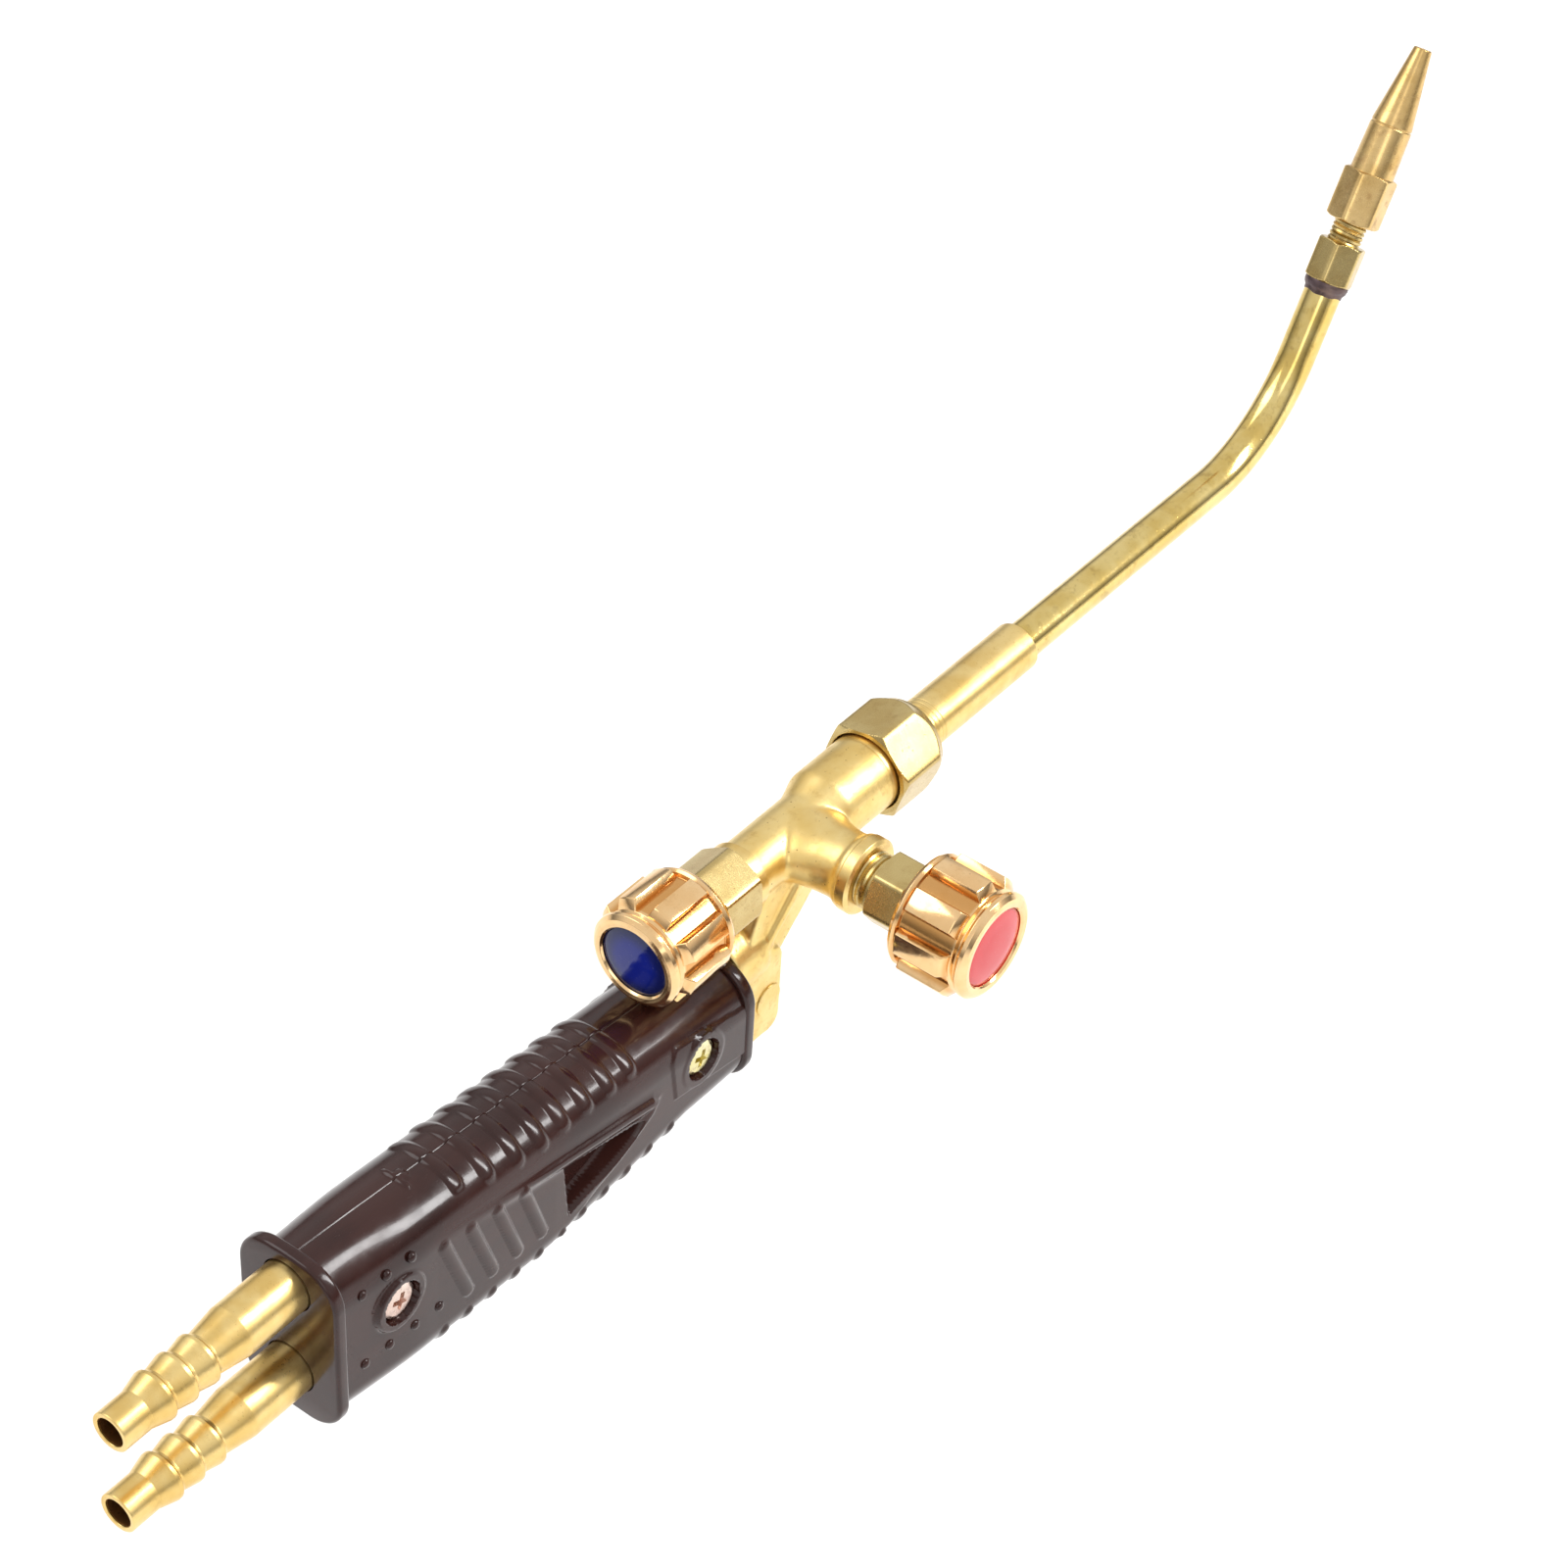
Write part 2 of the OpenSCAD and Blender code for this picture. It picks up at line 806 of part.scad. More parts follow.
handle_shell_right();
handle_shell_left();
handle_screw_front();
handle_screw_rear();
handle_nuts();
oxygen_hose_tail();
fuel_hose_tail();
oxygen_feed_pipe();
fuel_feed_pipe();
valve_body();
cross_drill_plug();
oxygen_bonnet();
oxygen_spindle_seal();
oxygen_spindle();
oxygen_knob();
oxygen_knob_screw();
oxygen_badge();
fuel_bonnet();
fuel_spindle_seal();
fuel_spindle();
fuel_knob();
fuel_knob_screw();
fuel_badge();
injector();
union_nut();
mixing_sleeve();
gooseneck_tube();
braze_ring();
tip_adapter();
tip_nozzle();
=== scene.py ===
"""Looks of a hand-held gas and oxygen torch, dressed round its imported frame."""

import logging
import math
from dataclasses import dataclass, field, replace
from enum import Enum
from typing import Any, Sequence

import bmesh
import bpy
import numpy as np
from mathutils import Matrix, Vector


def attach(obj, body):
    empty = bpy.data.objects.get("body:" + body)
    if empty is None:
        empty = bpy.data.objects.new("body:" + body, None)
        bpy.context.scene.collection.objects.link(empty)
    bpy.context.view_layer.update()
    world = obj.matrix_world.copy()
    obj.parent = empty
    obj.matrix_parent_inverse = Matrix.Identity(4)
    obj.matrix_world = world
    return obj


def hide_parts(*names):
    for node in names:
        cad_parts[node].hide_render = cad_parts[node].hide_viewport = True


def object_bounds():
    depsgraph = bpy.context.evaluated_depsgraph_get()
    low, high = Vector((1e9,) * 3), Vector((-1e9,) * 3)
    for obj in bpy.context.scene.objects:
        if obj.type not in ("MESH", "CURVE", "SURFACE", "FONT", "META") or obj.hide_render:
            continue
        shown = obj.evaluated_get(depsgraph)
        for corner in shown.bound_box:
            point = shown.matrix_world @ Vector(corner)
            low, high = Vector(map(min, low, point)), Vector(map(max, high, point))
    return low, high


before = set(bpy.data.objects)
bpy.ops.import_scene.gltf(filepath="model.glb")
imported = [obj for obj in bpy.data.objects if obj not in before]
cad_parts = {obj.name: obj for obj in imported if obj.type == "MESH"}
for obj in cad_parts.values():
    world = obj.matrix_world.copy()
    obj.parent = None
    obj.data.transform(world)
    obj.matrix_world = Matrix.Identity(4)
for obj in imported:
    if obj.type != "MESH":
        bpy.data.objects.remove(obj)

LOG = logging.getLogger("torch")
MM = 0.001
CAD_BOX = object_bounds()
TAU = 2 * math.pi

Point2 = tuple[float, float]
Colour = tuple[float, float, float]

BODY = "torch_body"
NECK = "neck"
AXIS_RISE = 9.0
TAIL_GAP = 21.5
FUEL_X = 185.2
CORNER_X = 354.0
BONNET_BORE = 3.7


# ---------------------------------------------------------------- node trees


def feed(tree: bpy.types.NodeTree, slot: bpy.types.NodeSocket, value: Any) -> None:
    """Links a Sock to an input, or sets the input to a plain value."""
    if isinstance(value, Sock):
        tree.links.new(value.socket, slot)
    else:
        slot.default_value = value


class Sock:
    """One output socket of a tree that is being built, with arithmetic that adds Math nodes."""

    def __init__(self, tree: bpy.types.NodeTree, socket: bpy.types.NodeSocket) -> None:
        """Keeps the tree and the socket.

        Args:
            tree: The tree that holds the socket.
            socket: The output to compute with.
        """
        self.tree = tree
        self.socket = socket

    def _math(self, operation: str, *values: Any) -> "Sock":
        """Adds one Math node.

        Args:
            operation: The node's operation.
            values: Numbers or sockets for its inputs, in order.

        Returns:
            The node's result.
        """
        node = self.tree.nodes.new("ShaderNodeMath")
        node.operation = operation
        for slot, value in zip(node.inputs, values):
            feed(self.tree, slot, value)
        return Sock(self.tree, node.outputs[0])

    def __add__(self, other: Any) -> "Sock":
        """Returns self + other."""
        return self._math("ADD", self, other)

    __radd__ = __add__

    def __sub__(self, other: Any) -> "Sock":
        """Returns self - other."""
        return self._math("SUBTRACT", self, other)

    def __rsub__(self, other: Any) -> "Sock":
        """Returns other - self."""
        return self._math("SUBTRACT", other, self)

    def __mul__(self, other: Any) -> "Sock":
        """Returns self * other."""
        return self._math("MULTIPLY", self, other)

    __rmul__ = __mul__

    def __truediv__(self, other: Any) -> "Sock":
        """Returns self / other."""
        return self._math("DIVIDE", self, other)

    def clamped(self) -> "Sock":
        """Returns self held between 0 and 1."""
        result = self._math("ADD", self, 0.0)
        result.socket.node.use_clamp = True
        return result

    def ramp(self, low: float, high: float) -> "Sock":
        """Returns 0 where self is at low, 1 where it is at high, and a smooth step between."""
        node = self.tree.nodes.new("ShaderNodeMapRange")
        node.interpolation_type = "SMOOTHSTEP"
        if low > high:
            node.inputs["From Min"].default_value = high
            node.inputs["From Max"].default_value = low
            node.inputs["To Min"].default_value = 1.0
            node.inputs["To Max"].default_value = 0.0
        else:
            node.inputs["From Min"].default_value = low
            node.inputs["From Max"].default_value = high
        self.tree.links.new(self.socket, node.inputs["Value"])
        return Sock(self.tree, node.outputs[0])


class Loom:
    """Adds nodes to one tree: a material's, the world's or a Geometry Nodes tree."""

    def __init__(self, tree: bpy.types.NodeTree) -> None:
        """Keeps the tree.

        Args:
            tree: The tree to add nodes to.
        """
        self.tree = tree

    def node(self, kind: str, settings: dict[str, Any] | None = None, inputs: dict[Any, Any] | None = None,
             out: int | str = 0) -> Sock:
        """Adds a node of any type.

        Args:
            kind: The node's type, such as ShaderNodeTexNoise.
            settings: The node's own properties, set first.
            inputs: Values or sockets, keyed by input name or index.
            out: The output to return, by name or index.

        Returns:
            The chosen output.
        """
        node = self.tree.nodes.new(kind)
        for name, value in (settings or {}).items():
            setattr(node, name, value)
        for name, value in (inputs or {}).items():
            feed(self.tree, node.inputs[name], value)
        return Sock(self.tree, node.outputs[out])

    def noise(self, place: Sock, scale: float, detail: float = 3.0, rough: float = 0.55) -> Sock:
        """Returns a noise value from 0 to 1 at place."""
        return self.node("ShaderNodeTexNoise", inputs={
            "Vector": place, "Scale": scale, "Detail": detail, "Roughness": rough})

    def stretched(self, place: Sock, by: tuple[float, float, float]) -> Sock:
        """Returns place with each of its axes multiplied."""
        return self.node("ShaderNodeVectorMath", {"operation": "MULTIPLY"}, {0: place, 1: by})

    def mixed(self, share: Any, first: Any, second: Any) -> Sock:
        """Returns the colour that goes from first to second with share."""
        node = self.tree.nodes.new("ShaderNodeMix")
        node.data_type = "RGBA"
        for slot, value in ((node.inputs[0], share), (node.inputs[6], first), (node.inputs[7], second)):
            feed(self.tree, slot, (*value, 1.0) if isinstance(value, tuple) else value)
        return Sock(self.tree, node.outputs[2])


class Skin(Enum):
    """Where a finish takes its place on the surface from, in millimetres."""

    PIECE = "skin"
    CAD = "object"


class Marks(Enum):
    """The way in which the tool has left its lines on a metal surface."""

    CAST = "cast"
    TURNED = "turned"
    DRAWN = "drawn"
    FLAT = "flat"


@dataclass(frozen=True)
class Finish:
    """What every finish has in common."""

    name: str
    skin: Skin = Skin.PIECE

    def place(self, loom: Loom) -> Sock:
        """Returns the surface's place in millimetres, in the piece's own frame."""
        if self.skin is Skin.PIECE:
            return loom.node("ShaderNodeAttribute", {"attribute_name": "skin"}, out="Vector")
        spot = loom.node("ShaderNodeTexCoord", out="Object")
        return loom.stretched(spot, (1 / MM,) * 3)

    def started(self) -> tuple[bpy.types.Material, Loom, bpy.types.Node]:
        """Returns an empty material, its loom and its Principled node."""
        material = bpy.data.materials.new(self.name)
        material.use_nodes = True
        tree = material.node_tree
        return material, Loom(tree), tree.nodes["Principled BSDF"]

    def bump(self, loom: Loom, shader: bpy.types.Node, height_mm: Sock) -> None:
        """Feeds a height in millimetres to the shader's normal."""
        bent = loom.node("ShaderNodeBump", inputs={"Strength": 1.0, "Distance": MM, "Height": height_mm},
                         out="Normal")
        loom.tree.links.new(bent.socket, shader.inputs["Normal"])


@dataclass(frozen=True)
class Metal(Finish):
    """A bare or plated metal, with its tool marks, stains, pits and tone."""

    dark: Colour = (0.55, 0.36, 0.10)
    body: Colour = (0.80, 0.60, 0.25)
    light: Colour = (0.90, 0.74, 0.40)
    rough: float = 0.3
    rough_spread: float = 0.12
    grain: float = 3.0
    grain_mm: float = 0.004
    marks: Marks = Marks.CAST
    marks_mm: float = 0.0
    stain: float = 0.4
    pits: float = 0.5

    def lines(self, loom: Loom, place: Sock) -> Sock:
        """Returns the tool's lines, from 0 to 1."""
        by = {
            Marks.CAST: (1.4, 1.4, 1.4),
            Marks.TURNED: (0.12, 0.12, 7.0),
            Marks.DRAWN: (5.0, 5.0, 0.1),
            Marks.FLAT: (0.5, 0.5, 5.5),
        }[self.marks]
        return loom.noise(loom.stretched(place, by), 1.0, 3.0, 0.6)

    def tinted(self, loom: Loom, place: Sock, tone: Sock) -> Sock:
        """Returns the tone with whatever a kind of metal adds to it."""
        return tone

    def build(self) -> bpy.types.Material:
        """Returns the material."""
        material, loom, shader = self.started()
        place = self.place(loom)
        broad = loom.noise(place, 0.11, 3.0, 0.6)
        fleck = loom.noise(place, 1.3, 5.0, 0.65)
        grain = loom.noise(place, self.grain, 2.0, 0.5)
        lines = self.lines(loom, place)
        worn = loom.noise(place, 0.33, 6.0, 0.7).ramp(0.52, 0.70) * self.stain
        cell = loom.node("ShaderNodeTexVoronoi", inputs={"Vector": place, "Scale": 0.62}, out="Distance")
        pit = cell.ramp(0.17, 0.06) * fleck.ramp(0.50, 0.60) * self.pits
        tone = loom.mixed(broad.ramp(0.32, 0.68), self.body, self.light)
        tone = loom.mixed((worn + (lines.ramp(0.55, 0.85) * 0.12)).clamped(), tone, self.dark)
        tone = loom.mixed((pit * 0.85).clamped(), tone, tuple(c * 0.32 for c in self.dark))
        tone = self.tinted(loom, place, tone)
        loom.tree.links.new(tone.socket, shader.inputs["Base Color"])
        rough = self.rough + (fleck - 0.5) * self.rough_spread * 2 + worn * 0.16 + pit * 0.3
        rough = (rough + (lines - 0.5) * self.rough_spread).clamped()
        loom.tree.links.new(rough.socket, shader.inputs["Roughness"])
        shader.inputs["Metallic"].default_value = 1.0
        height = grain * self.grain_mm + lines * self.marks_mm - pit * 0.02 + broad * 0.02
        self.bump(loom, shader, height)
        return material


@dataclass(frozen=True)
class Plated(Metal):
    """A knob's plating, with painted shade that darkens the valleys between the lobes."""

    painted_valley_shade: Colour = (0.60, 0.27, 0.06)
    # crest and front: the radius and the height where the painted valley shade begins
    crest: float = 11.6
    front: float = 14.4

    def tinted(self, loom: Loom, place: Sock, tone: Sock) -> Sock:
        """Returns the tone with painted shade darkening the valleys."""
        flat = loom.stretched(place, (1.0, 1.0, 0.0))
        reach = loom.node("ShaderNodeVectorMath", {"operation": "LENGTH"}, {0: flat}, out="Value")
        height = loom.node("ShaderNodeSeparateXYZ", inputs={0: place}, out="Z")
        # painted shade: darker below the lobe crests, fading out towards the knob's front face
        share = reach.ramp(self.crest - 0.5, self.crest - 1.7) * height.ramp(self.front, self.front - 0.8)
        return loom.mixed((share * 0.75).clamped(), tone, self.painted_valley_shade)


@dataclass(frozen=True)
class Moulding(Finish):
    """Glossy moulded plastic with a faint orange peel, flow marks and dust."""

    dark: Colour = (0.022, 0.0065, 0.005)
    body: Colour = (0.034, 0.0105, 0.008)
    dust: Colour = (0.20, 0.15, 0.13)
    rough: float = 0.15
    coat: float = 0.15

    def build(self) -> bpy.types.Material:
        """Returns the material."""
        material, loom, shader = self.started()
        place = self.place(loom)
        flow = loom.noise(loom.stretched(place, (0.05, 0.12, 0.12)), 1.0, 4.0, 0.6)
        peel = loom.noise(place, 0.75, 2.0, 0.4)
        haze = loom.noise(place, 0.22, 6.0, 0.65)
        speck = loom.noise(place, 5.5, 2.0, 0.5).ramp(0.70, 0.76)
        scratch = loom.noise(loom.stretched(place, (0.35, 6.0, 2.4)), 1.0, 2.0, 0.5).ramp(0.66, 0.74)
        tone = loom.mixed(flow.ramp(0.35, 0.65), self.dark, self.body)
        tone = loom.mixed((speck * haze.ramp(0.45, 0.7) * 0.5).clamped(), tone, self.dust)
        loom.tree.links.new(tone.socket, shader.inputs["Base Color"])
        rough = (self.rough + haze.ramp(0.4, 0.75) * 0.14 + speck * 0.2 + scratch * 0.08).clamped()
        loom.tree.links.new(rough.socket, shader.inputs["Roughness"])
        shader.inputs["Specular IOR Level"].default_value = 0.28
        shader.inputs["Coat Weight"].default_value = self.coat
        shader.inputs["Coat Roughness"].default_value = 0.05
        self.bump(loom, shader, peel * 0.006 + haze * 0.012 - scratch * 0.0015 + speck * 0.003)
        return material


@dataclass(frozen=True)
class Enamel(Finish):
    """A glossy enamel drop whose colour changes towards its rim."""

    heart: Colour = (0.003, 0.012, 0.20)
    edge: Colour = (0.003, 0.008, 0.075)
    radius: float = 6.7

    def build(self) -> bpy.types.Material:
        """Returns the material."""
        material, loom, shader = self.started()
        place = self.place(loom)
        flat = loom.stretched(place, (1.0, 1.0, 0.0))
        reach = loom.node("ShaderNodeVectorMath", {"operation": "LENGTH"}, {0: flat}, out="Value")
        cloud = loom.noise(place, 0.3, 3.0, 0.5)
        rim = ((reach / self.radius) + (cloud - 0.5) * 0.12).ramp(0.55, 1.02)
        tone = loom.mixed(rim, self.heart, self.edge)
        tone = loom.mixed(loom.noise(place, 2.2, 3.0).ramp(0.62, 0.8) * 0.12, tone, (0.5, 0.5, 0.55))
        loom.tree.links.new(tone.socket, shader.inputs["Base Color"])
        rough = (0.07 + loom.noise(place, 0.8, 4.0).ramp(0.5, 0.8) * 0.10).clamped()
        loom.tree.links.new(rough.socket, shader.inputs["Roughness"])
        shader.inputs["Specular IOR Level"].default_value = 0.3
        shader.inputs["Coat Weight"].default_value = 0.25
        shader.inputs["Coat Roughness"].default_value = 0.03
        self.bump(loom, shader, cloud * 0.03)
        return material


@dataclass(frozen=True)
class Rubber(Finish):
    """Matte black rubber with moulding bloom."""

    def build(self) -> bpy.types.Material:
        """Returns the material."""
        material, loom, shader = self.started()
        place = self.place(loom)
        bloom = loom.noise(place, 0.9, 5.0, 0.6)
        tone = loom.mixed(bloom.ramp(0.4, 0.7), (0.012, 0.012, 0.012), (0.035, 0.034, 0.033))
        loom.tree.links.new(tone.socket, shader.inputs["Base Color"])
        loom.tree.links.new((0.6 + bloom * 0.25).clamped().socket, shader.inputs["Roughness"])
        self.bump(loom, shader, bloom * 0.01)
        return material


CAST = Metal("cast_brass", dark=(0.48, 0.29, 0.08), body=(0.77, 0.54, 0.18), light=(0.85, 0.65, 0.28),
             rough=0.36, grain=2.6, grain_mm=0.018, stain=0.4, pits=0.9)
TURNED = Metal("turned_brass", dark=(0.50, 0.32, 0.09), body=(0.74, 0.50, 0.16), light=(0.85, 0.64, 0.27),
               rough=0.30, rough_spread=0.08, grain=4.0, grain_mm=0.002, marks=Marks.TURNED, marks_mm=0.002,
               stain=0.3, pits=0.35)
DRAWN = Metal("drawn_brass", dark=(0.30, 0.19, 0.05), body=(0.66, 0.47, 0.14), light=(0.78, 0.61, 0.25),
              rough=0.15, rough_spread=0.08, grain=4.0, grain_mm=0.0015, marks=Marks.DRAWN, marks_mm=0.0015,
              stain=0.45, pits=0.5)
TIP_BRASS = Metal("tip_brass", dark=(0.30, 0.16, 0.06), body=(0.58, 0.38, 0.14), light=(0.74, 0.52, 0.23),
                  rough=0.25, rough_spread=0.08, grain=4.0, grain_mm=0.002, marks=Marks.TURNED,
                  marks_mm=0.0015, stain=0.5, pits=0.6)
MACHINED = Metal("machined_brass", dark=(0.34, 0.21, 0.07), body=(0.52, 0.37, 0.14), light=(0.60, 0.46, 0.20),
                 rough=0.26, rough_spread=0.07, grain=5.0, grain_mm=0.0015, marks=Marks.FLAT, marks_mm=0.001,
                 stain=0.3, pits=0.6)
GILT = Plated("gilt_plate", dark=(0.60, 0.33, 0.12), body=(0.86, 0.55, 0.26), light=(0.92, 0.64, 0.34),
             rough=0.13, rough_spread=0.06, grain=1.5, grain_mm=0.006, stain=0.3, pits=0.35)
WIDE_GILT = replace(GILT, name="gilt_plate_wide", crest=12.8)
BRAZE = Metal("dark_braze", dark=(0.03, 0.02, 0.02), body=(0.10, 0.07, 0.075), light=(0.20, 0.14, 0.12),
              rough=0.42, grain=1.2, grain_mm=0.05, stain=0.6, pits=0.5)
YELLOW_ZINC = Metal("yellow_zinc", dark=(0.42, 0.26, 0.16), body=(0.72, 0.62, 0.26), light=(0.74, 0.70, 0.42),
                    rough=0.22, grain=3.0, grain_mm=0.003, stain=0.7, pits=0.3)
BRONZED = Metal("bronzed_steel", dark=(0.30, 0.20, 0.16), body=(0.66, 0.47, 0.40), light=(0.74, 0.60, 0.52),
                rough=0.25, grain=3.0, grain_mm=0.003, stain=0.6, pits=0.3)
STEEL = Metal("bright_steel", skin=Skin.CAD, dark=(0.3, 0.3, 0.3), body=(0.58, 0.58, 0.58),
              light=(0.70, 0.70, 0.69), rough=0.28, marks=Marks.CAST, stain=0.3, pits=0.2)
# painted shade: a near-black brown for the sleeve that darkens the inside of the hose tails' bores
BORE_SHADE = Metal("bore_painted_shade", dark=(0.10, 0.04, 0.012), body=(0.20, 0.085, 0.025), light=(0.30, 0.14, 0.045),
             rough=0.5, grain=2.0, grain_mm=0.01, stain=0.6, pits=0.6)
INNER_BRASS = Metal("inner_brass", skin=Skin.CAD, rough=0.3, stain=0.4)
HANDLE = Moulding("dark_moulding")
BLUE = Enamel("blue_enamel")
RED = Enamel("red_enamel", heart=(0.56, 0.018, 0.024), edge=(0.60, 0.045, 0.05))
SEAL = Rubber("seal_rubber", skin=Skin.CAD)


class Paintbox:
    """Builds each finish once and hands out its material."""

    def __init__(self) -> None:
        """Starts empty."""
        self._built: dict[str, bpy.types.Material] = {}

    def __call__(self, finish: Any) -> bpy.types.Material:
        """Returns the material of a finish."""
        if finish.name not in self._built:
            self._built[finish.name] = finish.build()
        return self._built[finish.name]


PAINT = Paintbox()


# ---------------------------------------------------------------- shapes


def linked(name: str, data: bpy.types.ID) -> bpy.types.Object:
    """Returns a new object of the scene that holds data."""
    obj = bpy.data.objects.new(name, data)
    bpy.context.scene.collection.objects.link(obj)
    return obj


@dataclass
class Form:
    """A mesh in millimetres in a piece's own frame."""

    verts: np.ndarray
    faces: list[tuple[int, ...]]
    skin: np.ndarray | None = None

    def plus(self, *others: "Form") -> "Form":
        """Returns one form that holds this one and the others."""
        verts, faces, skins = [self.verts], list(self.faces), [self.marked()]
        base = len(self.verts)
        for other in others:
            verts.append(other.verts)
            skins.append(other.marked())
            faces += [tuple(i + base for i in face) for face in other.faces]
            base += len(other.verts)
        return Form(np.vstack(verts), faces, np.vstack(skins))

    def marked(self) -> np.ndarray:
        """Returns the surface's own coordinates, which are the vertices' unless they were set."""
        return self.verts if self.skin is None else self.skin

    def moved(self, matrix: Matrix) -> "Form":
        """Returns the form moved by a matrix, with its surface's own coordinates kept."""
        m = np.array(matrix, float)
        return Form(self.verts @ m[:3, :3].T + m[:3, 3], self.faces, self.marked())

    def mesh(self, name: str, weld: float = 1e-5) -> bpy.types.Mesh:
        """Returns a Blender mesh of the form, with faces that point outwards and points within weld joined."""
        mesh = bpy.data.meshes.new(name)
        mesh.from_pydata(self.verts.tolist(), [], self.faces)
        skin = mesh.attributes.new("skin", "FLOAT_VECTOR", "POINT")
        skin.data.foreach_set("vector", self.marked().astype(np.float32).ravel())
        bm = bmesh.new()
        bm.from_mesh(mesh)
        bmesh.ops.remove_doubles(bm, verts=bm.verts, dist=weld)
        bmesh.ops.recalc_face_normals(bm, faces=bm.faces)
        bm.to_mesh(mesh)
        bm.free()
        return mesh

    @staticmethod
    def read(mesh: bpy.types.Mesh) -> "Form":
        """Returns the form of a Blender mesh."""
        verts = np.zeros(len(mesh.vertices) * 3)
        mesh.vertices.foreach_get("co", verts)
        return Form(verts.reshape(-1, 3), [tuple(p.vertices) for p in mesh.polygons])


def frame_at(origin: tuple[float, float, float], turns: Sequence[tuple[float, str]] = ()) -> Matrix:
    """Returns the matrix of a frame in millimetres.

    Args:
        origin: The frame's origin.
        turns: Turns in degrees about named axes, applied from the last to the first.

    Returns:
        The frame's matrix.
    """
    matrix = Matrix.Translation(Vector(origin))
    for angle, axis in turns:
        matrix = matrix @ Matrix.Rotation(math.radians(angle), 4, axis)
    return matrix


WHOLE = frame_at((0, 0, 0))
MAIN = frame_at((0, 0, AXIS_RISE), [(90, "Y")])
OXYGEN_VALVE = frame_at((167, 0, AXIS_RISE), [(-90, "Y")])
FUEL_VALVE = frame_at((FUEL_X, -22.4, AXIS_RISE), [(90, "X")])
FUEL_BOSS = frame_at((FUEL_X, 0, AXIS_RISE), [(90, "X")])
UPPER_LEG = frame_at((CORNER_X, 0, AXIS_RISE), [(30, "Y")])


def soften(profile: Sequence[Point2], radius: float, steps: int = 3, closed: bool = False) -> list[Point2]:
    """Rounds the corners of a profile.

    Args:
        profile: The corners, in order.
        radius: The radius of each rounding, less where the sides are too short.
        steps: Segments in each rounding.
        closed: Whether the last corner joins the first.

    Returns:
        The rounded profile, with a close point before and after each rounding.
    """
    points = [np.array(p, float) for p in profile]
    count, out = len(points), []
    for i, p in enumerate(points):
        if not closed and i in (0, count - 1):
            out.append(p)
            continue
        to_a, to_b = points[i - 1] - p, points[(i + 1) % count] - p
        la, lb = np.linalg.norm(to_a), np.linalg.norm(to_b)
        u, v = to_a / la, to_b / lb
        half = math.acos(max(-1.0, min(1.0, float(u @ v)))) / 2
        if half > 1.5:
            out.append(p)
            continue
        cut = min(radius / math.tan(half), 0.42 * min(la, lb))
        reach = cut * math.tan(half)
        middle = p + (u + v) / np.linalg.norm(u + v) * (reach / math.sin(half))
        start, end = p + u * cut - middle, p + v * cut - middle
        sweep = math.atan2(start[0] * end[1] - start[1] * end[0], float(start @ end))
        if la > 3 * cut:
            out.append(p + u * cut * 1.35)
        for k in range(steps + 1):
            a = sweep * k / steps
            turn = np.array([[math.cos(a), -math.sin(a)], [math.sin(a), math.cos(a)]])
            out.append(middle + turn @ start)
        if lb > 3 * cut:
            out.append(p + v * cut * 1.35)
    return [(float(p[0]), float(p[1])) for p in out]


def divided(profile: Sequence[Point2], step: float, closed: bool = False) -> list[Point2]:
    """Returns the profile with its long sides cut so that none is longer than step."""
    out, count = [], len(profile)
    for i in range(count if closed else count - 1):
        a, b = np.array(profile[i]), np.array(profile[(i + 1) % count])
        parts = max(1, math.ceil(float(np.linalg.norm(b - a)) / step))
        out += [tuple(a + (b - a) * k / parts) for k in range(parts)]
    return out if closed else [*out, tuple(profile[-1])]


def corner_r(flats: float) -> float:
    """Returns the radius of a hexagon's corners."""
    return flats / 2 / math.cos(math.pi / 6)


@dataclass(frozen=True)
class Hexagon:
    """The hexagon that a turned blank is milled to."""

    flats: float
    turn: float = 0.0
    corner: float = 0.12

    def reach(self, angles: np.ndarray) -> np.ndarray:
        """Returns the hexagon's radius at each angle, with its corners slightly rounded."""
        sides = math.radians(self.turn + 30) + np.arange(6) * TAU / 6
        sharp = self.flats / 2 / self.corner * 0.5
        facing = np.cos(angles[:, None] - sides[None, :])
        smooth = np.log(np.exp(sharp * facing).sum(1)) / sharp
        return self.flats / 2 / smooth


def lathe(profile: Sequence[Point2], segments: int = 128, closed: bool = False,
          hexagon: Hexagon | None = None) -> Form:
    """Turns a profile about the Z axis.

    Args:
        profile: Points (z, radius). An open profile that ends off the axis is capped.
        segments: Segments round the axis.
        closed: Whether the profile is a loop, as on a pipe.
        hexagon: A hexagon that cuts off whatever stands outside it.

    Returns:
        The closed form.
    """
    angles = np.arange(segments) * TAU / segments
    limit = hexagon.reach(angles) if hexagon else np.full(segments, 1e9)
    verts: list[tuple[float, float, float]] = []
    rings: list[list[int]] = []
    for z, r in profile:
        if r < 1e-6:
            rings.append([len(verts)] * segments)
            verts.append((0.0, 0.0, z))
            continue
        blend = 0.10
        gap = limit - r
        radius = np.where(gap > blend, r, np.where(
            gap < -blend, limit, r - (blend - gap) ** 2 / (4 * blend)))
        rings.append(list(range(len(verts), len(verts) + segments)))
        verts += list(zip(radius * np.cos(angles), radius * np.sin(angles), np.full(segments, z)))
    faces: list[tuple[int, ...]] = []
    pairs = list(zip(rings, rings[1:])) + ([(rings[-1], rings[0])] if closed else [])
    for one, two in pairs:
        for i in range(segments):
            j = (i + 1) % segments
            corners = list(dict.fromkeys([one[i], one[j], two[j], two[i]]))
            if len(corners) > 2:
                faces.append(tuple(corners))
    if not closed:
        for ring in (rings[0], rings[-1]):
            if len(set(ring)) > 1:
                faces.append(tuple(ring))
    return Form(np.array(verts, float), faces)


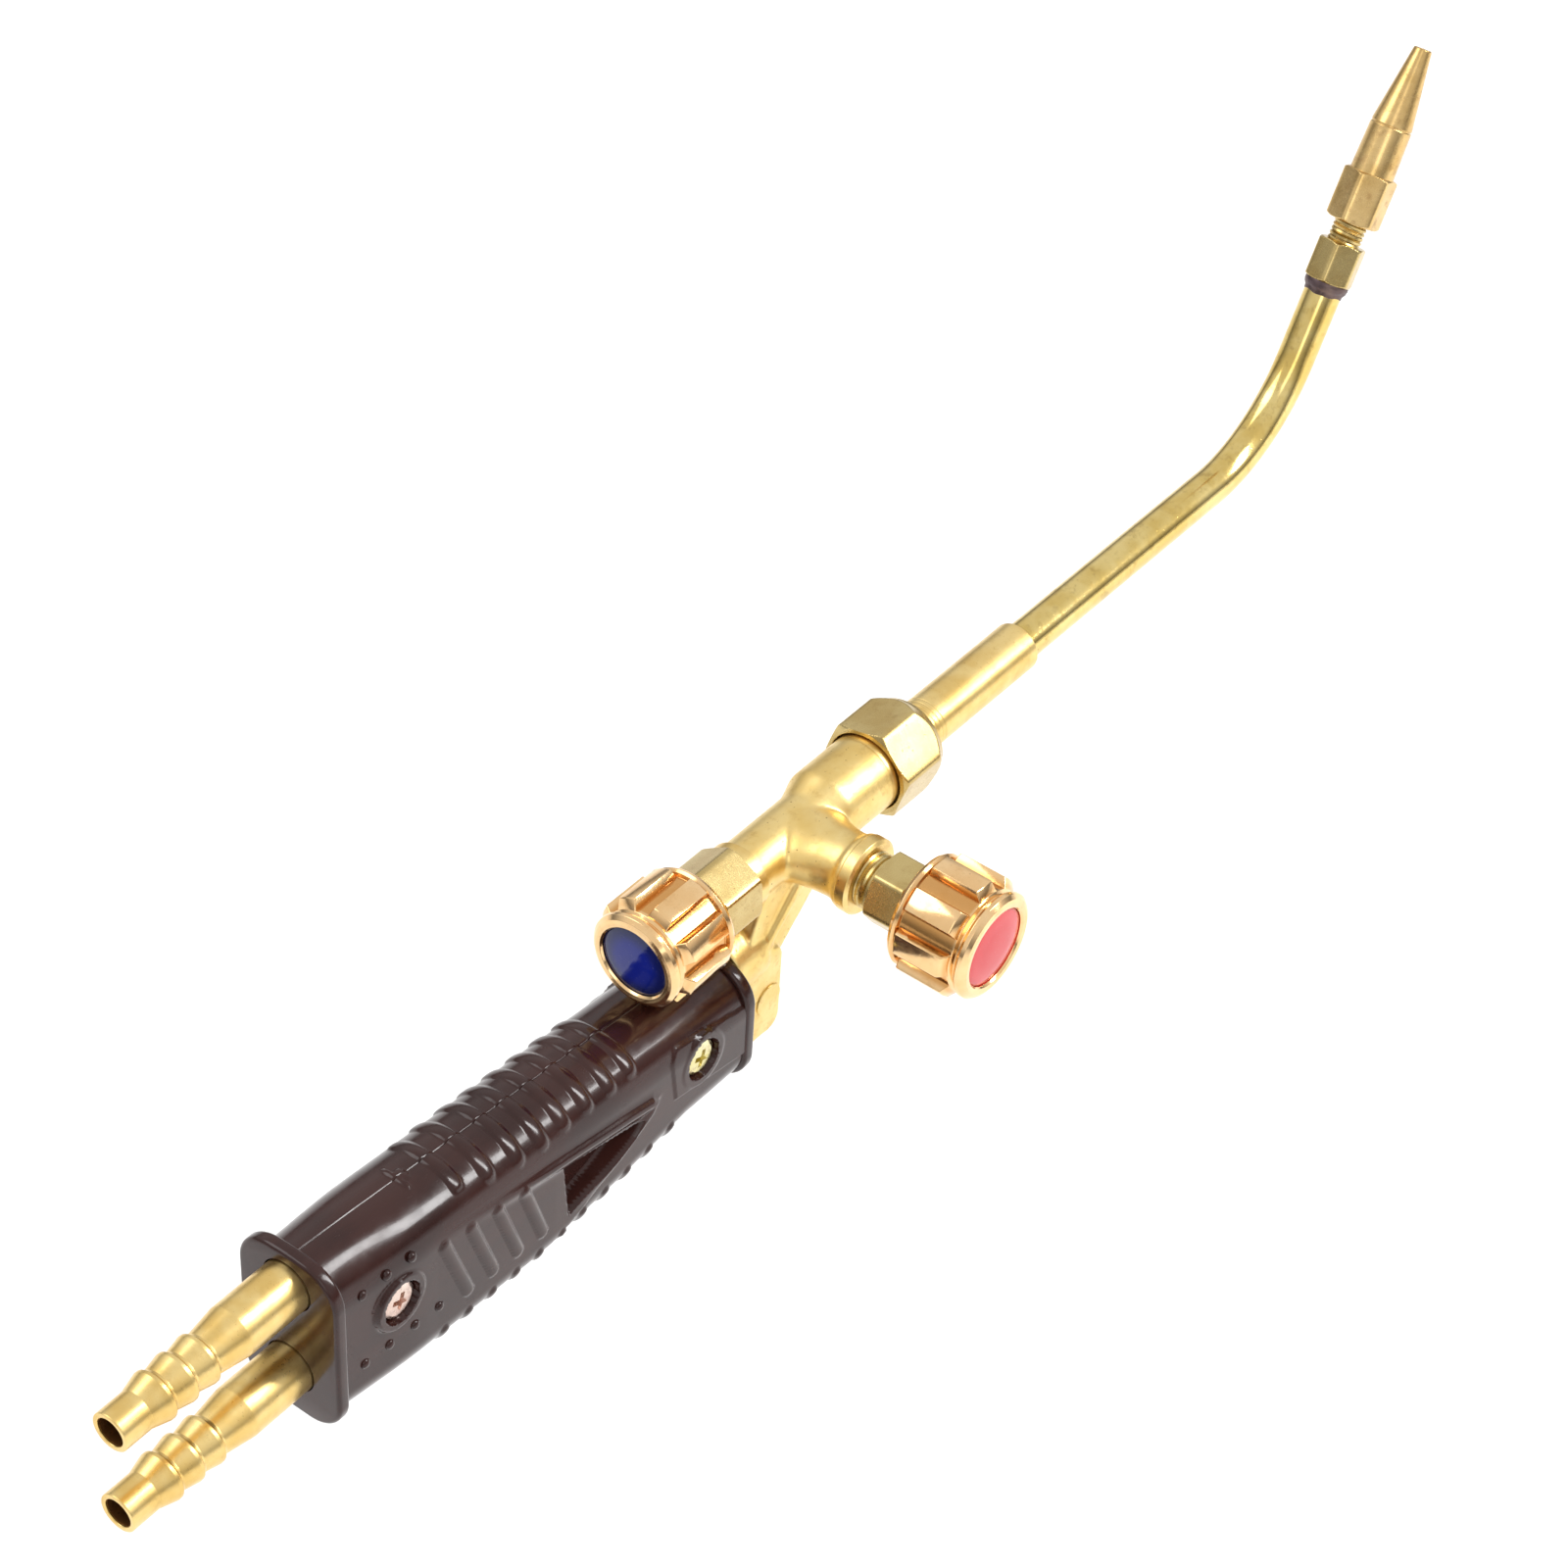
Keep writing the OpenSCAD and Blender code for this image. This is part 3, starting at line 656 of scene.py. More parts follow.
def box(low: Sequence[float], high: Sequence[float]) -> Form:
    """Returns a block between two corners, as a blank for cutting or remeshing."""
    corners = np.array([[(low, high)[i >> k & 1][k] for k in range(3)] for i in range(8)], float)
    faces = [(0, 1, 3, 2), (4, 6, 7, 5), (0, 4, 5, 1), (2, 3, 7, 6), (0, 2, 6, 4), (1, 5, 7, 3)]
    return Form(corners, faces)


def hulled(points: np.ndarray) -> Form:
    """Returns the convex form round some points."""
    bm = bmesh.new()
    for p in points:
        bm.verts.new(p)
    hull = bmesh.ops.convex_hull(bm, input=bm.verts)
    loose = {g for g in hull["geom_interior"] + hull["geom_unused"] if isinstance(g, bmesh.types.BMVert)}
    bmesh.ops.delete(bm, geom=list(loose), context="VERTS")
    mesh = bpy.data.meshes.new("hull")
    bm.to_mesh(mesh)
    bm.free()
    return Form.read(mesh)


def worked(form: Form, steps: Sequence[tuple[str, dict[str, Any]]]) -> Form:
    """Runs a form through Blender's modifiers.

    Args:
        form: The form to work on.
        steps: Modifier types with their settings, in order. A Form among the settings becomes an object.

    Returns:
        The worked form.
    """
    made = [linked("work", form.mesh("work"))]
    for kind, settings in steps:
        modifier = made[0].modifiers.new(kind.title(), kind)
        for name, value in settings.items():
            if isinstance(value, Form):
                value = linked("tool", value.mesh("tool"))
                made.append(value)
            setattr(modifier, name, value)
    dg = bpy.context.evaluated_depsgraph_get()
    mesh = bpy.data.meshes.new_from_object(made[0].evaluated_get(dg))
    for o in made:
        bpy.data.objects.remove(o)
    return Form.read(mesh)


def carved(form: Form, *tools: Form) -> Form:
    """Returns form with the tools cut out of it."""
    return worked(form, [("BOOLEAN", {"operation": "DIFFERENCE", "solver": "EXACT", "object": t}) for t in tools])


@dataclass
class Piece:
    """One finished piece of the torch."""

    name: str
    form: Form
    at: Matrix
    body: str
    finish: Any
    slot: str
    replaces: tuple[str, ...] = ()
    sharp: float = 40.0

    def show(self) -> bpy.types.Object:
        """Builds the object at the origin, gives it its finish and lets it ride.

        Returns:
            The finished object.
        """
        placed = self.form.moved(self.at)
        placed.verts = placed.verts * MM
        mesh = placed.mesh(self.name, 1e-8)
        mesh.shade_smooth()
        mesh.set_sharp_from_angle(angle=math.radians(self.sharp))
        mesh.materials.append(PAINT(self.finish))
        obj = linked(self.name, mesh)
        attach(obj, self.body)
        if self.replaces:
            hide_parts(*self.replaces)
        LOG.info("%s: %d vertices on %s", self.name, len(mesh.vertices), self.body)
        return obj


# ---------------------------------------------------------------- repeated shapes


class Pattern:
    """A Geometry Nodes tree with named inputs."""

    def __init__(self, name: str, inputs: dict[str, str]) -> None:
        """Starts the tree.

        Args:
            name: The tree's name.
            inputs: Input names with their socket types; Geometry and Material are added.
        """
        self.tree = bpy.data.node_groups.new(name, "GeometryNodeTree")
        self.loom = Loom(self.tree)
        face = self.tree.interface
        face.new_socket("Geometry", in_out="INPUT", socket_type="NodeSocketGeometry")
        face.new_socket("Geometry", in_out="OUTPUT", socket_type="NodeSocketGeometry")
        self.sockets = {
            "Material": face.new_socket("Material", in_out="INPUT", socket_type="NodeSocketMaterial")}
        for label, kind in inputs.items():
            self.sockets[label] = face.new_socket(label, in_out="INPUT", socket_type=kind)
        self.source = self.tree.nodes.new("NodeGroupInput")
        self.drain = self.tree.nodes.new("NodeGroupOutput")

    def value(self, label: str) -> Sock:
        """Returns one of the tree's inputs."""
        return Sock(self.tree, self.source.outputs[label])

    def end(self, geometry: Sock) -> None:
        """Realizes the geometry's instances, sets its material and closes the tree."""
        real = self.loom.node("GeometryNodeRealizeInstances", inputs={"Geometry": geometry})
        clad = self.loom.node("GeometryNodeSetMaterial", inputs={
            "Geometry": real, "Material": self.value("Material")})
        self.tree.links.new(clad.socket, self.drain.inputs[0])

    def run(self, mesh: bpy.types.Mesh, finish: Any, values: dict[str, Any]) -> Form:
        """Runs the tree on a mesh, which can be bare edges.

        Args:
            mesh: The mesh that the tree starts from.
            finish: The finish that its faces take.
            values: Values of the named inputs.

        Returns:
            The grown form.
        """
        obj = linked("seed", mesh)
        modifier = obj.modifiers.new("Pattern", "NODES")
        modifier.node_group = self.tree
        modifier[self.sockets["Material"].identifier] = PAINT(finish)
        for label, value in values.items():
            modifier[self.sockets[label].identifier] = value
        dg = bpy.context.evaluated_depsgraph_get()
        grown = bpy.data.meshes.new_from_object(obj.evaluated_get(dg))
        bpy.data.objects.remove(obj)
        form = Form.read(grown)
        if "skin" in grown.attributes:
            skin = np.zeros(len(grown.vertices) * 3)
            grown.attributes["skin"].data.foreach_get("vector", skin)
            form.skin = skin.reshape(-1, 3)
        return form

    def grow(self, seed: Form, finish: Any, values: dict[str, Any]) -> Form:
        """Returns what the tree makes of a seed form, as run does of a mesh."""
        return self.run(seed.mesh("seed"), finish, values)


class Ring(Pattern):
    """Repeats the seed round the Z axis."""

    def __init__(self) -> None:
        """Builds the tree."""
        super().__init__("repeat_round_axis", {"Count": "NodeSocketInt", "Phase": "NodeSocketFloat"})
        points = self.loom.node("GeometryNodePoints", inputs={"Count": self.value("Count")})
        index = self.loom.node("GeometryNodeInputIndex")
        angle = index * TAU / self.value("Count") + self.value("Phase")
        turn = self.loom.node("ShaderNodeCombineXYZ", inputs={"Z": angle})
        self.end(self.loom.node("GeometryNodeInstanceOnPoints", inputs={
            "Points": points, "Instance": self.value("Geometry"), "Rotation": turn}))


class Helix(Pattern):
    """Sweeps a thread's ridge along a helix on the Z axis."""

    def __init__(self) -> None:
        """Builds the tree."""
        super().__init__("thread_ridge", {
            "Turns": "NodeSocketFloat", "Radius": "NodeSocketFloat", "Length": "NodeSocketFloat",
            "Ridge": "NodeSocketFloat"})
        path = self.loom.node("GeometryNodeCurveSpiral", inputs={
            "Resolution": 64, "Rotations": self.value("Turns"), "Start Radius": self.value("Radius"),
            "End Radius": self.value("Radius"), "Height": self.value("Length")})
        ridge = self.loom.node("GeometryNodeCurvePrimitiveCircle", {"mode": "RADIUS"}, {
            "Resolution": 6, "Radius": self.value("Ridge")})
        self.end(self.loom.node("GeometryNodeCurveToMesh", inputs={
            "Curve": path, "Profile Curve": ridge, "Fill Caps": True}))


class Studs(Pattern):
    """Sets a flattened dome on each of the seed's points."""

    def __init__(self) -> None:
        """Builds the tree."""
        super().__init__("studs_on_points", {"Radius": "NodeSocketFloat", "Rise": "NodeSocketFloat"})
        dome = self.loom.node("GeometryNodeMeshUVSphere", inputs={
            "Segments": 24, "Rings": 14, "Radius": self.value("Radius")})
        points = self.loom.node("GeometryNodeMeshToPoints", inputs={"Mesh": self.value("Geometry")})
        size = self.loom.node("ShaderNodeCombineXYZ", inputs={"X": 1.0, "Y": self.value("Rise"), "Z": 1.0})
        self.end(self.loom.node("GeometryNodeInstanceOnPoints", inputs={
            "Points": points, "Instance": dome, "Scale": size}))


class Sweep(Pattern):
    """Sweeps a round tube along the seed's edges and keeps the unrolled place of each point."""

    def __init__(self) -> None:
        """Builds the tree."""
        super().__init__("tube_on_path", {"Radius": "NodeSocketFloat", "Sides": "NodeSocketInt"})
        path = self.loom.node("GeometryNodeMeshToCurve", inputs={"Mesh": self.value("Geometry")})
        length = self.loom.node("GeometryNodeSplineParameter", out="Length")
        along = self.tree.nodes.new("GeometryNodeCaptureAttribute")
        along.capture_items.new("FLOAT", "Along")
        self.tree.links.new(path.socket, along.inputs["Geometry"])
        self.tree.links.new(length.socket, along.inputs["Along"])
        circle = self.loom.node("GeometryNodeCurvePrimitiveCircle", {"mode": "RADIUS"}, {
            "Resolution": self.value("Sides"), "Radius": self.value("Radius")})
        spot = self.loom.node("GeometryNodeInputPosition")
        round_it = self.tree.nodes.new("GeometryNodeCaptureAttribute")
        round_it.capture_items.new("VECTOR", "Round")
        self.tree.links.new(circle.socket, round_it.inputs["Geometry"])
        self.tree.links.new(spot.socket, round_it.inputs["Round"])
        tube = self.loom.node("GeometryNodeCurveToMesh", inputs={
            "Curve": Sock(self.tree, along.outputs["Geometry"]),
            "Profile Curve": Sock(self.tree, round_it.outputs["Geometry"]), "Fill Caps": True})
        lift = self.loom.node("ShaderNodeCombineXYZ", inputs={"Z": Sock(self.tree, along.outputs["Along"])})
        skin = self.loom.node("ShaderNodeVectorMath", {"operation": "ADD"}, {
            0: Sock(self.tree, round_it.outputs["Round"]), 1: lift})
        stored = self.loom.node("GeometryNodeStoreNamedAttribute", {"data_type": "FLOAT_VECTOR", "domain": "POINT"}, {
            "Geometry": tube, "Name": "skin", "Value": skin})
        self.end(stored)


# ---------------------------------------------------------------- sub-assemblies


@dataclass
class HoseTail:
    """A ridged tail that a hose is pushed over, with its plain stem."""

    name: str
    drop: float
    lead_r: float = 4.05
    bore_r: float = 3.0
    ridge_r: float = 5.1
    valley_r: float = 4.35
    stem_r: float = 5.35
    length: float = 54.0
    ridges: tuple[float, ...] = (11.0, 16.2, 21.4)

    def profile(self) -> list[Point2]:
        """Returns the closed profile of the wall, in (z, radius)."""
        points: list[Point2] = [(0.0, self.lead_r), (6.5, self.lead_r)]
        for x in self.ridges:
            points += [(x - 0.7, self.ridge_r), (x, self.ridge_r), (x + 0.45, self.valley_r + 0.15),
                       (x + 1.0, self.valley_r)]
        points += [(29.0, self.stem_r), (self.length, self.stem_r), (self.length, self.bore_r),
                   (0.0, self.bore_r)]
        return soften(points, 0.22, 3, True)

    def dress(self) -> None:
        """Builds the tail and a dark sleeve inside its bore, which is painted shade for the hollow."""
        at = frame_at((0, 0, -self.drop), [(90, "Y")])
        Piece(f"{self.name}_ridged", lathe(self.profile(), 144, True), at, BODY, TURNED, "turned_brass",
              (self.name,)).show()
        # a thin dark sleeve just inside the bore, painted shade for the hollow
        painted_shade_lining = [(0.5, self.bore_r + 0.01), (40.0, self.bore_r + 0.01), (40.0, self.bore_r - 0.04),
                  (0.5, self.bore_r - 0.04)]
        Piece(f"{self.name}_bore", lathe(painted_shade_lining, 72, True), at, BODY, BORE_SHADE, "turned_brass").show()


@dataclass
class Knob:
    """A plated valve knob with raised lobes, its badge and the bonnet under it."""

    gas: str
    at: Matrix
    grip_r: float
    length: float
    hex_af: float
    hex_l: float
    neck_l: float
    enamel: Enamel
    phase: float
    hex_turn: float
    plating: Plated = GILT
    hex_from: float = 0.0
    lobes: int = 8
    gap: float = 0.8

    def blank(self) -> Form:
        """Returns the knob without its lobes."""
        r, l = self.grip_r, self.length
        rim, root = r * 0.85, r - 1.9
        seat = rim * 0.77
        points: list[Point2] = [(0.0, 0.0), (0.0, r * 0.80), (0.35, r * 0.90), (1.1, r * 0.935), (1.75, r * 0.90),
                                (2.1, root), (l - 3.6, root), (l - 3.0, rim - 0.75), (l - 2.75, rim - 0.75),
                                (l - 2.45, rim), (l - 1.8, rim + 0.45), (l - 1.0, rim + 0.35), (l - 0.25, rim - 0.45),
                                (l, rim - 1.1), (l - 0.12, seat + 0.35), (l - 0.55, seat), (l - 1.5, seat),
                                (l - 1.5, 0.0)]
        return lathe(soften(points, 0.18, 3), 160)

    def lobe(self) -> Form:
        """Returns one lobe, a bevelled block along Z that stands out along X."""
        r, l = self.grip_r, self.length
        top, foot = r * 0.185, r * 0.215
        low, front, back = r - 2.9, l - 3.15, 2.0
        corners = []
        for side in (-1, 1):
            corners += [(low, side * foot, back), (low, side * foot, front)]
            edge = math.sqrt(r * r - top * top)
            corners += [(edge, side * top, back + 0.5), (edge, side * top, front - 1.7)]
        corners += [(r, 0.0, back + 0.5), (r, 0.0, front - 1.7), (low, 0.0, back), (low, 0.0, front)]
        block = hulled(np.array(corners))
        return worked(block, [("BEVEL", {"width": 0.26, "segments": 3, "limit_method": "ANGLE",
                                         "angle_limit": math.radians(22)})])

    def bonnet(self) -> Form:
        """Returns the bonnet's hexagon with its chamfers and, where it shows, its threaded neck."""
        r = corner_r(self.hex_af)
        low = self.hex_from
        profile = [(low, BONNET_BORE), (low, r - 0.7), (low + 0.4, r + 0.15), (self.hex_l - 0.9, r + 0.15),
                   (self.hex_l, r - 1.3), (self.hex_l, 3.0), (self.hex_l - 0.5, 3.0), (self.hex_l - 0.5, BONNET_BORE)]
        form = lathe(divided(soften(profile, 0.12, 3, True), 0.22, True), 288, True,
                     Hexagon(self.hex_af, self.hex_turn))
        if self.neck_l:
            neck = soften([(-self.neck_l - 3.0, BONNET_BORE), (-self.neck_l - 3.0, 5.45), (low + 0.2, 5.45),
                           (low + 0.2, BONNET_BORE)], 0.1, 2, True)
            thread = Helix().grow(box((0, 0, 0), (1, 1, 1)), MACHINED, {
                "Turns": self.neck_l + low + 0.8, "Radius": 5.42, "Length": self.neck_l + low + 0.8, "Ridge": 0.55})
            form = form.plus(lathe(neck, 96, True), thread.moved(frame_at((0, 0, -self.neck_l - 0.8))))
        return form

    def badge(self) -> Form:
        """Returns the domed enamel badge."""
        r = self.grip_r * 0.85 * 0.77 - 0.06
        z = self.length - 1.45
        rise = [(z + 0.55 + 0.75 * math.sin(a), r * math.cos(a)) for a in np.linspace(0, math.pi / 2, 14)]
        return lathe([(z, 0.0), (z, r), *rise[:-1], (rise[-1][0], 0.0)], 128)

    def dress(self) -> None:
        """Builds the knob, its badge and its bonnet."""
        on_knob = self.at @ frame_at((0, 0, self.hex_l + self.gap))
        body = f"{self.gas}_valve_knob"
        lobes = Ring().grow(self.lobe(), self.plating, {"Count": self.lobes, "Phase": math.radians(self.phase)})
        Piece(f"{self.gas}_knob_grip", self.blank().plus(lobes), on_knob, body, self.plating, "gilt_knob",
              (f"{self.gas}_knob",), 34.0).show()
        Piece(f"{self.gas}_badge_dome", self.badge(), on_knob, body, self.enamel, self.enamel.name,
              (f"{self.gas}_badge",)).show()
        Piece(f"{self.gas}_bonnet_hexagon", self.bonnet(), self.at, BODY, MACHINED, "machined_brass",
              (f"{self.gas}_bonnet",), 32.0).show()


@dataclass
class ValveBody:
    """The cast body: barrel, neck, fuel boss, arm and the block at the handle's front."""

    voxel: float = 0.36
    front: float = 176.0
    handle_end: float = 161.6

    def barrel(self) -> Form:
        """Returns the barrel and neck along X."""
        profile = [(169.0, 0.0), (169.0, 6.35), (189.5, 6.4), (192.0, 7.2), (195.0, 8.3), (208.6, 8.35),
                   (208.6, 0.0)]
        return lathe(profile, 96).moved(MAIN)

    def collar(self) -> Form:
        """Returns the machined collar behind the oxygen bonnet and the machined end behind the nut."""
        ring = soften([(167.0, 4.0), (167.0, 6.9), (167.25, 7.15), (169.7, 7.15), (170.1, 6.3), (170.1, 4.0)],
                      0.15, 3, True)
        end = soften([(204.0, 5.0), (204.0, 8.2), (210.6, 8.36), (210.6, 7.8), (218.9, 7.8), (218.9, 5.0)],
                     0.12, 2, True)
        return lathe(ring, 144, True).moved(MAIN).plus(lathe(end, 144, True).moved(MAIN))

    def boss(self) -> Form:
        """Returns the fuel valve's flared boss along -Y."""
        flare = [(0.0, 0.0), (0.0, 9.9), (6.0, 9.6), (8.5, 8.6), (11.0, 7.7), (13.5, 7.2), (15.2, 7.2),
                 (16.0, 8.0), (19.0, 8.1), (19.8, 7.5), (19.8, 0.0)]
        form = lathe(flare, 96)
        form.verts[:, 1] *= np.interp(form.verts[:, 2], [0.0, 7.0, 12.0, 15.0], [0.64, 0.68, 0.93, 1.0])
        return form.moved(FUEL_BOSS)

    def rim(self) -> Form:
        """Returns the machined rim of the fuel boss."""
        ring = soften([(16.6, 5.4), (16.6, 7.9), (17.0, 8.15), (19.2, 8.15), (19.8, 7.4), (19.8, 5.4)],
                      0.25, 4, True)
        return lathe(ring, 144, True).moved(FUEL_BOSS)

    def block(self) -> Form:
        """Returns the block, the dome over the upper pipe and the tongue inside the handle."""
        rounded = []
        for y in (-5.9, 5.9):
            for x, z, r in ((self.handle_end, -29.4, 1.2), (172.6, -27.8, 3.2), (172.8, -12.0, 3.0),
                            (self.handle_end, -12.0, 1.2)):
                for a in np.linspace(0, TAU, 24, endpoint=False):
                    for side in (-1.0, 1.0):
                        rounded.append((x + r * math.cos(a), y + side * 1.1, z + r * math.sin(a)))
        form = hulled(np.array(rounded))
        dome = lathe([(self.handle_end, 0.0), (self.handle_end, 7.5), (170.5, 7.5), (173.6, 6.2), (175.4, 3.4),
                      (175.9, 0.0)], 72).moved(frame_at((0, 0, -9.9), [(90, "Y")]))
        tongue = box((138.0, -5.0, -27.0), (self.handle_end + 1, 5.0, -9.0))
        return form.plus(dome, tongue)

    def arm(self) -> Form:
        """Returns the arm from the block to the barrel, with its raised ridge."""
        web = []
        for x, z, r, half in ((168.5, -13.5, 5.2, 5.6), (174.5, -6.5, 4.6, 5.4), (186.0, 4.0, 6.2, 5.4),
                              (176.0, 2.6, 5.6, 5.4)):
            for a in np.linspace(0, TAU, 20, endpoint=False):
                for y in (-half, half):
                    web.append((x + r * math.cos(a), y, z + r * math.sin(a)))
        keel = []
        for x, z, r in ((171.0, -8.0, 1.0), (182.5, 3.2, 1.3)):
            for a in np.linspace(0, TAU, 16, endpoint=False):
                for y, k in ((-5.0, 1.5), (-6.7, 0.8)):
                    keel.append((x + r * k * math.cos(a), y, z + r * k * math.sin(a)))
        return hulled(np.array(web)).plus(hulled(np.array(keel)))

    def dress(self) -> None:
        """Builds the casting, its machined ends and the cross drilling's plug."""
        rough = self.barrel().plus(self.boss(), self.block(), self.arm())
        cast = worked(rough, [
            ("REMESH", {"mode": "VOXEL", "voxel_size": self.voxel}),
            ("SMOOTH", {"factor": 0.5, "iterations": 16}),
        ])
        Piece("valve_body_casting", cast, WHOLE, BODY, CAST, "cast_brass", ("valve_body",), 180.0).show()
        Piece("valve_body_machined_ends", self.collar().plus(self.rim()), WHOLE, BODY, TURNED, "cast_brass").show()
        coin = soften([(-0.35, 0.0), (-0.35, 3.45), (-0.15, 3.6), (1.4, 3.6), (1.4, 0.0)], 0.12, 2)
        Piece("cross_drill_plug_disc", lathe([(-z, r) for z, r in coin], 96),
              frame_at((171.6, -7.0, -21.5), [(90, "X")]), BODY, CAST, "cast_brass", ("cross_drill_plug",)).show()


@dataclass
class Neck:
    """Union nut, mixing sleeve, gooseneck, braze ring and tip adapter."""

    nut_x: float = 209.3
    nut_l: float = 14.2
    nut_af: float = 19.0
    nut_turn: float = 17.0
    sleeve_r: float = 5.45
    tube_r: float = 4.2
    bend_r: float = 36.0
    bend: float = 60.0
    ring_at: float = 36.3

    def nut(self) -> Form:
        """Returns the union nut along Z, with its chamfers and bore."""
        r, l = corner_r(self.nut_af), self.nut_l
        profile = [(0.0, 8.75), (0.0, r - 1.25), (0.75, r + 0.1), (l - 3.6, r + 0.1), (l - 0.9, r - 1.75),
                   (l, r - 2.1), (l, 5.75), (l - 2.2, 5.6), (l - 2.2, 8.1), (0.9, 8.45)]
        return lathe(divided(soften(profile, 0.16, 3, True), 0.25, True), 360, True,
                     Hexagon(self.nut_af, self.nut_turn))

    def sleeve(self) -> Form:
        """Returns the mixing sleeve along Z, with fine turned rings next to the nut."""
        r = self.sleeve_r
        points: list[Point2] = [(214.9, 2.0), (214.9, 5.0), (221.0, r)]
        for k in range(5):
            z = 224.6 + 1.15 * k
            points += [(z, r), (z + 0.18, r - 0.09), (z + 0.36, r)]
        points += [(261.3, r), (261.3, self.tube_r - 0.1), (249.0, self.tube_r - 0.1), (249.0, 2.0)]
        return lathe(soften(points, 0.2, 3, True), 128, True)

    def path(self) -> list[Vector]:
        """Returns the points of the gooseneck's centre line."""
        tangent = self.bend_r * math.tan(math.radians(self.bend) / 2)
        start, end = CORNER_X - tangent, self.ring_at + 5.0
        points = [Vector((x, 0, AXIS_RISE)) for x in np.linspace(249.5, start, 24)]
        for a in np.linspace(0, math.radians(self.bend), 33)[1:]:
            points.append(Vector((start + self.bend_r * math.sin(a), 0,
                                  AXIS_RISE + self.bend_r * (1 - math.cos(a)))))
        leg = Vector((math.cos(math.radians(self.bend)), 0, math.sin(math.radians(self.bend))))
        origin = Vector((CORNER_X, 0, AXIS_RISE))
        points += [origin + leg * s for s in np.linspace(tangent, end, 8)[1:]]
        return points

    def tube(self) -> Form:
        """Returns the gooseneck, swept along its centre line."""
        points = self.path()
        mesh = bpy.data.meshes.new("path")
        mesh.from_pydata([tuple(p) for p in points], [(i, i + 1) for i in range(len(points) - 1)], [])
        return Sweep().run(mesh, DRAWN, {"Radius": self.tube_r, "Sides": 96})

    def ring(self) -> Form:
        """Returns the dark braze ring along Z."""
        z = self.ring_at
        points = [(z - 0.5, 4.0), (z - 0.5, 4.25), (z + 0.3, 4.35), (z + 0.9, 4.75), (z + 1.6, 4.95),
                  (z + 2.5, 4.95), (z + 2.5, 4.0)]
        form = lathe(soften(points, 0.3, 4, True), 96, True)
        angle = np.arctan2(form.verts[:, 1], form.verts[:, 0])
        wave = 0.10 * np.sin(3 * angle + 0.6) + 0.06 * np.sin(7 * angle + 1.9)
        lead = form.verts[:, 2] < z + 1.2
        form.verts[lead, 2] += wave[lead] * 1.6
        return form

    def adapter(self) -> Form:
        """Returns the adapter's hexagon and its visible thread along Z."""
        z, r = self.ring_at + 2.4, corner_r(10.0)
        profile = [(z, 1.6), (z, r - 0.8), (z + 0.6, r + 0.1), (z + 8.4, r + 0.1), (z + 9.0, r - 0.8),
                   (z + 9.0, 1.6)]
        hexagon = lathe(divided(soften(profile, 0.1, 3, True), 0.2, True), 240, True, Hexagon(10.0, 12.0))
        stud = soften([(z + 8.5, 1.6), (z + 8.5, 3.3), (z + 18.4, 3.3), (z + 18.4, 1.6)], 0.1, 2, True)
        thread = Helix().grow(box((0, 0, 0), (1, 1, 1)), MACHINED, {
            "Turns": 6.4, "Radius": 3.3, "Length": 6.4, "Ridge": 0.5})
        return hexagon.plus(lathe(stud, 72, True), thread.moved(frame_at((0, 0, z + 8.7))))

    def dress(self) -> None:
        """Builds every piece of the neck."""
        Piece("union_nut_hexagon", self.nut(), MAIN @ frame_at((0, 0, self.nut_x)), "clamping_nut", MACHINED,
              "machined_brass", ("union_nut",), 32.0).show()
        Piece("mixing_sleeve_turned", self.sleeve(), MAIN, NECK, TURNED, "turned_brass", ("mixing_sleeve",)).show()
        Piece("gooseneck_swept_tube", self.tube(), WHOLE, NECK, DRAWN, "tube_brass", ("gooseneck_tube",)).show()
        Piece("braze_ring_fillet", self.ring(), UPPER_LEG, NECK, BRAZE, "braze_metal", ("braze_ring",)).show()
        Piece("tip_adapter_hexagon", self.adapter(), UPPER_LEG, NECK, MACHINED, "machined_brass",
              ("tip_adapter",), 32.0).show()


@dataclass
class Tip:
    """The screwed tip: hexagon, tapering cylinder, fine groove and cone."""

    start: float = 52.4
    flats: float = 11.0
    hex_l: float = 11.3

    def form(self) -> Form:
        """Returns the tip along Z."""
        z, r = self.start, corner_r(self.flats)
        profile = [(z, 3.95), (z, r - 0.9), (z + 0.7, r + 0.1), (z + self.hex_l - 0.6, r + 0.1),
                   (z + self.hex_l, r - 0.9), (z + self.hex_l, 3.0), (z + 1.2, 3.0), (z + 0.6, 3.95)]
        hexagon = lathe(divided(soften(profile, 0.1, 3, True), 0.2, True), 264, True, Hexagon(self.flats, 2.0))
        top = z + self.hex_l
        barrel = [(top - 0.3, 0.6), (top - 0.3, 4.98), (top + 10.55, 4.70), (top + 10.75, 4.50), (top + 10.95, 4.50),
                  (top + 11.1, 4.66), (top + 28.2, 2.05), (top + 28.4, 1.85), (top + 28.4, 0.6)]
        return hexagon.plus(lathe(soften(barrel, 0.12, 3, True), 128, True))

    def dress(self) -> None:
        """Builds the tip."""
        Piece("tip_nozzle_turned", self.form(), UPPER_LEG, "tip", TIP_BRASS, "turned_brass",
              ("tip_nozzle",), 32.0).show()


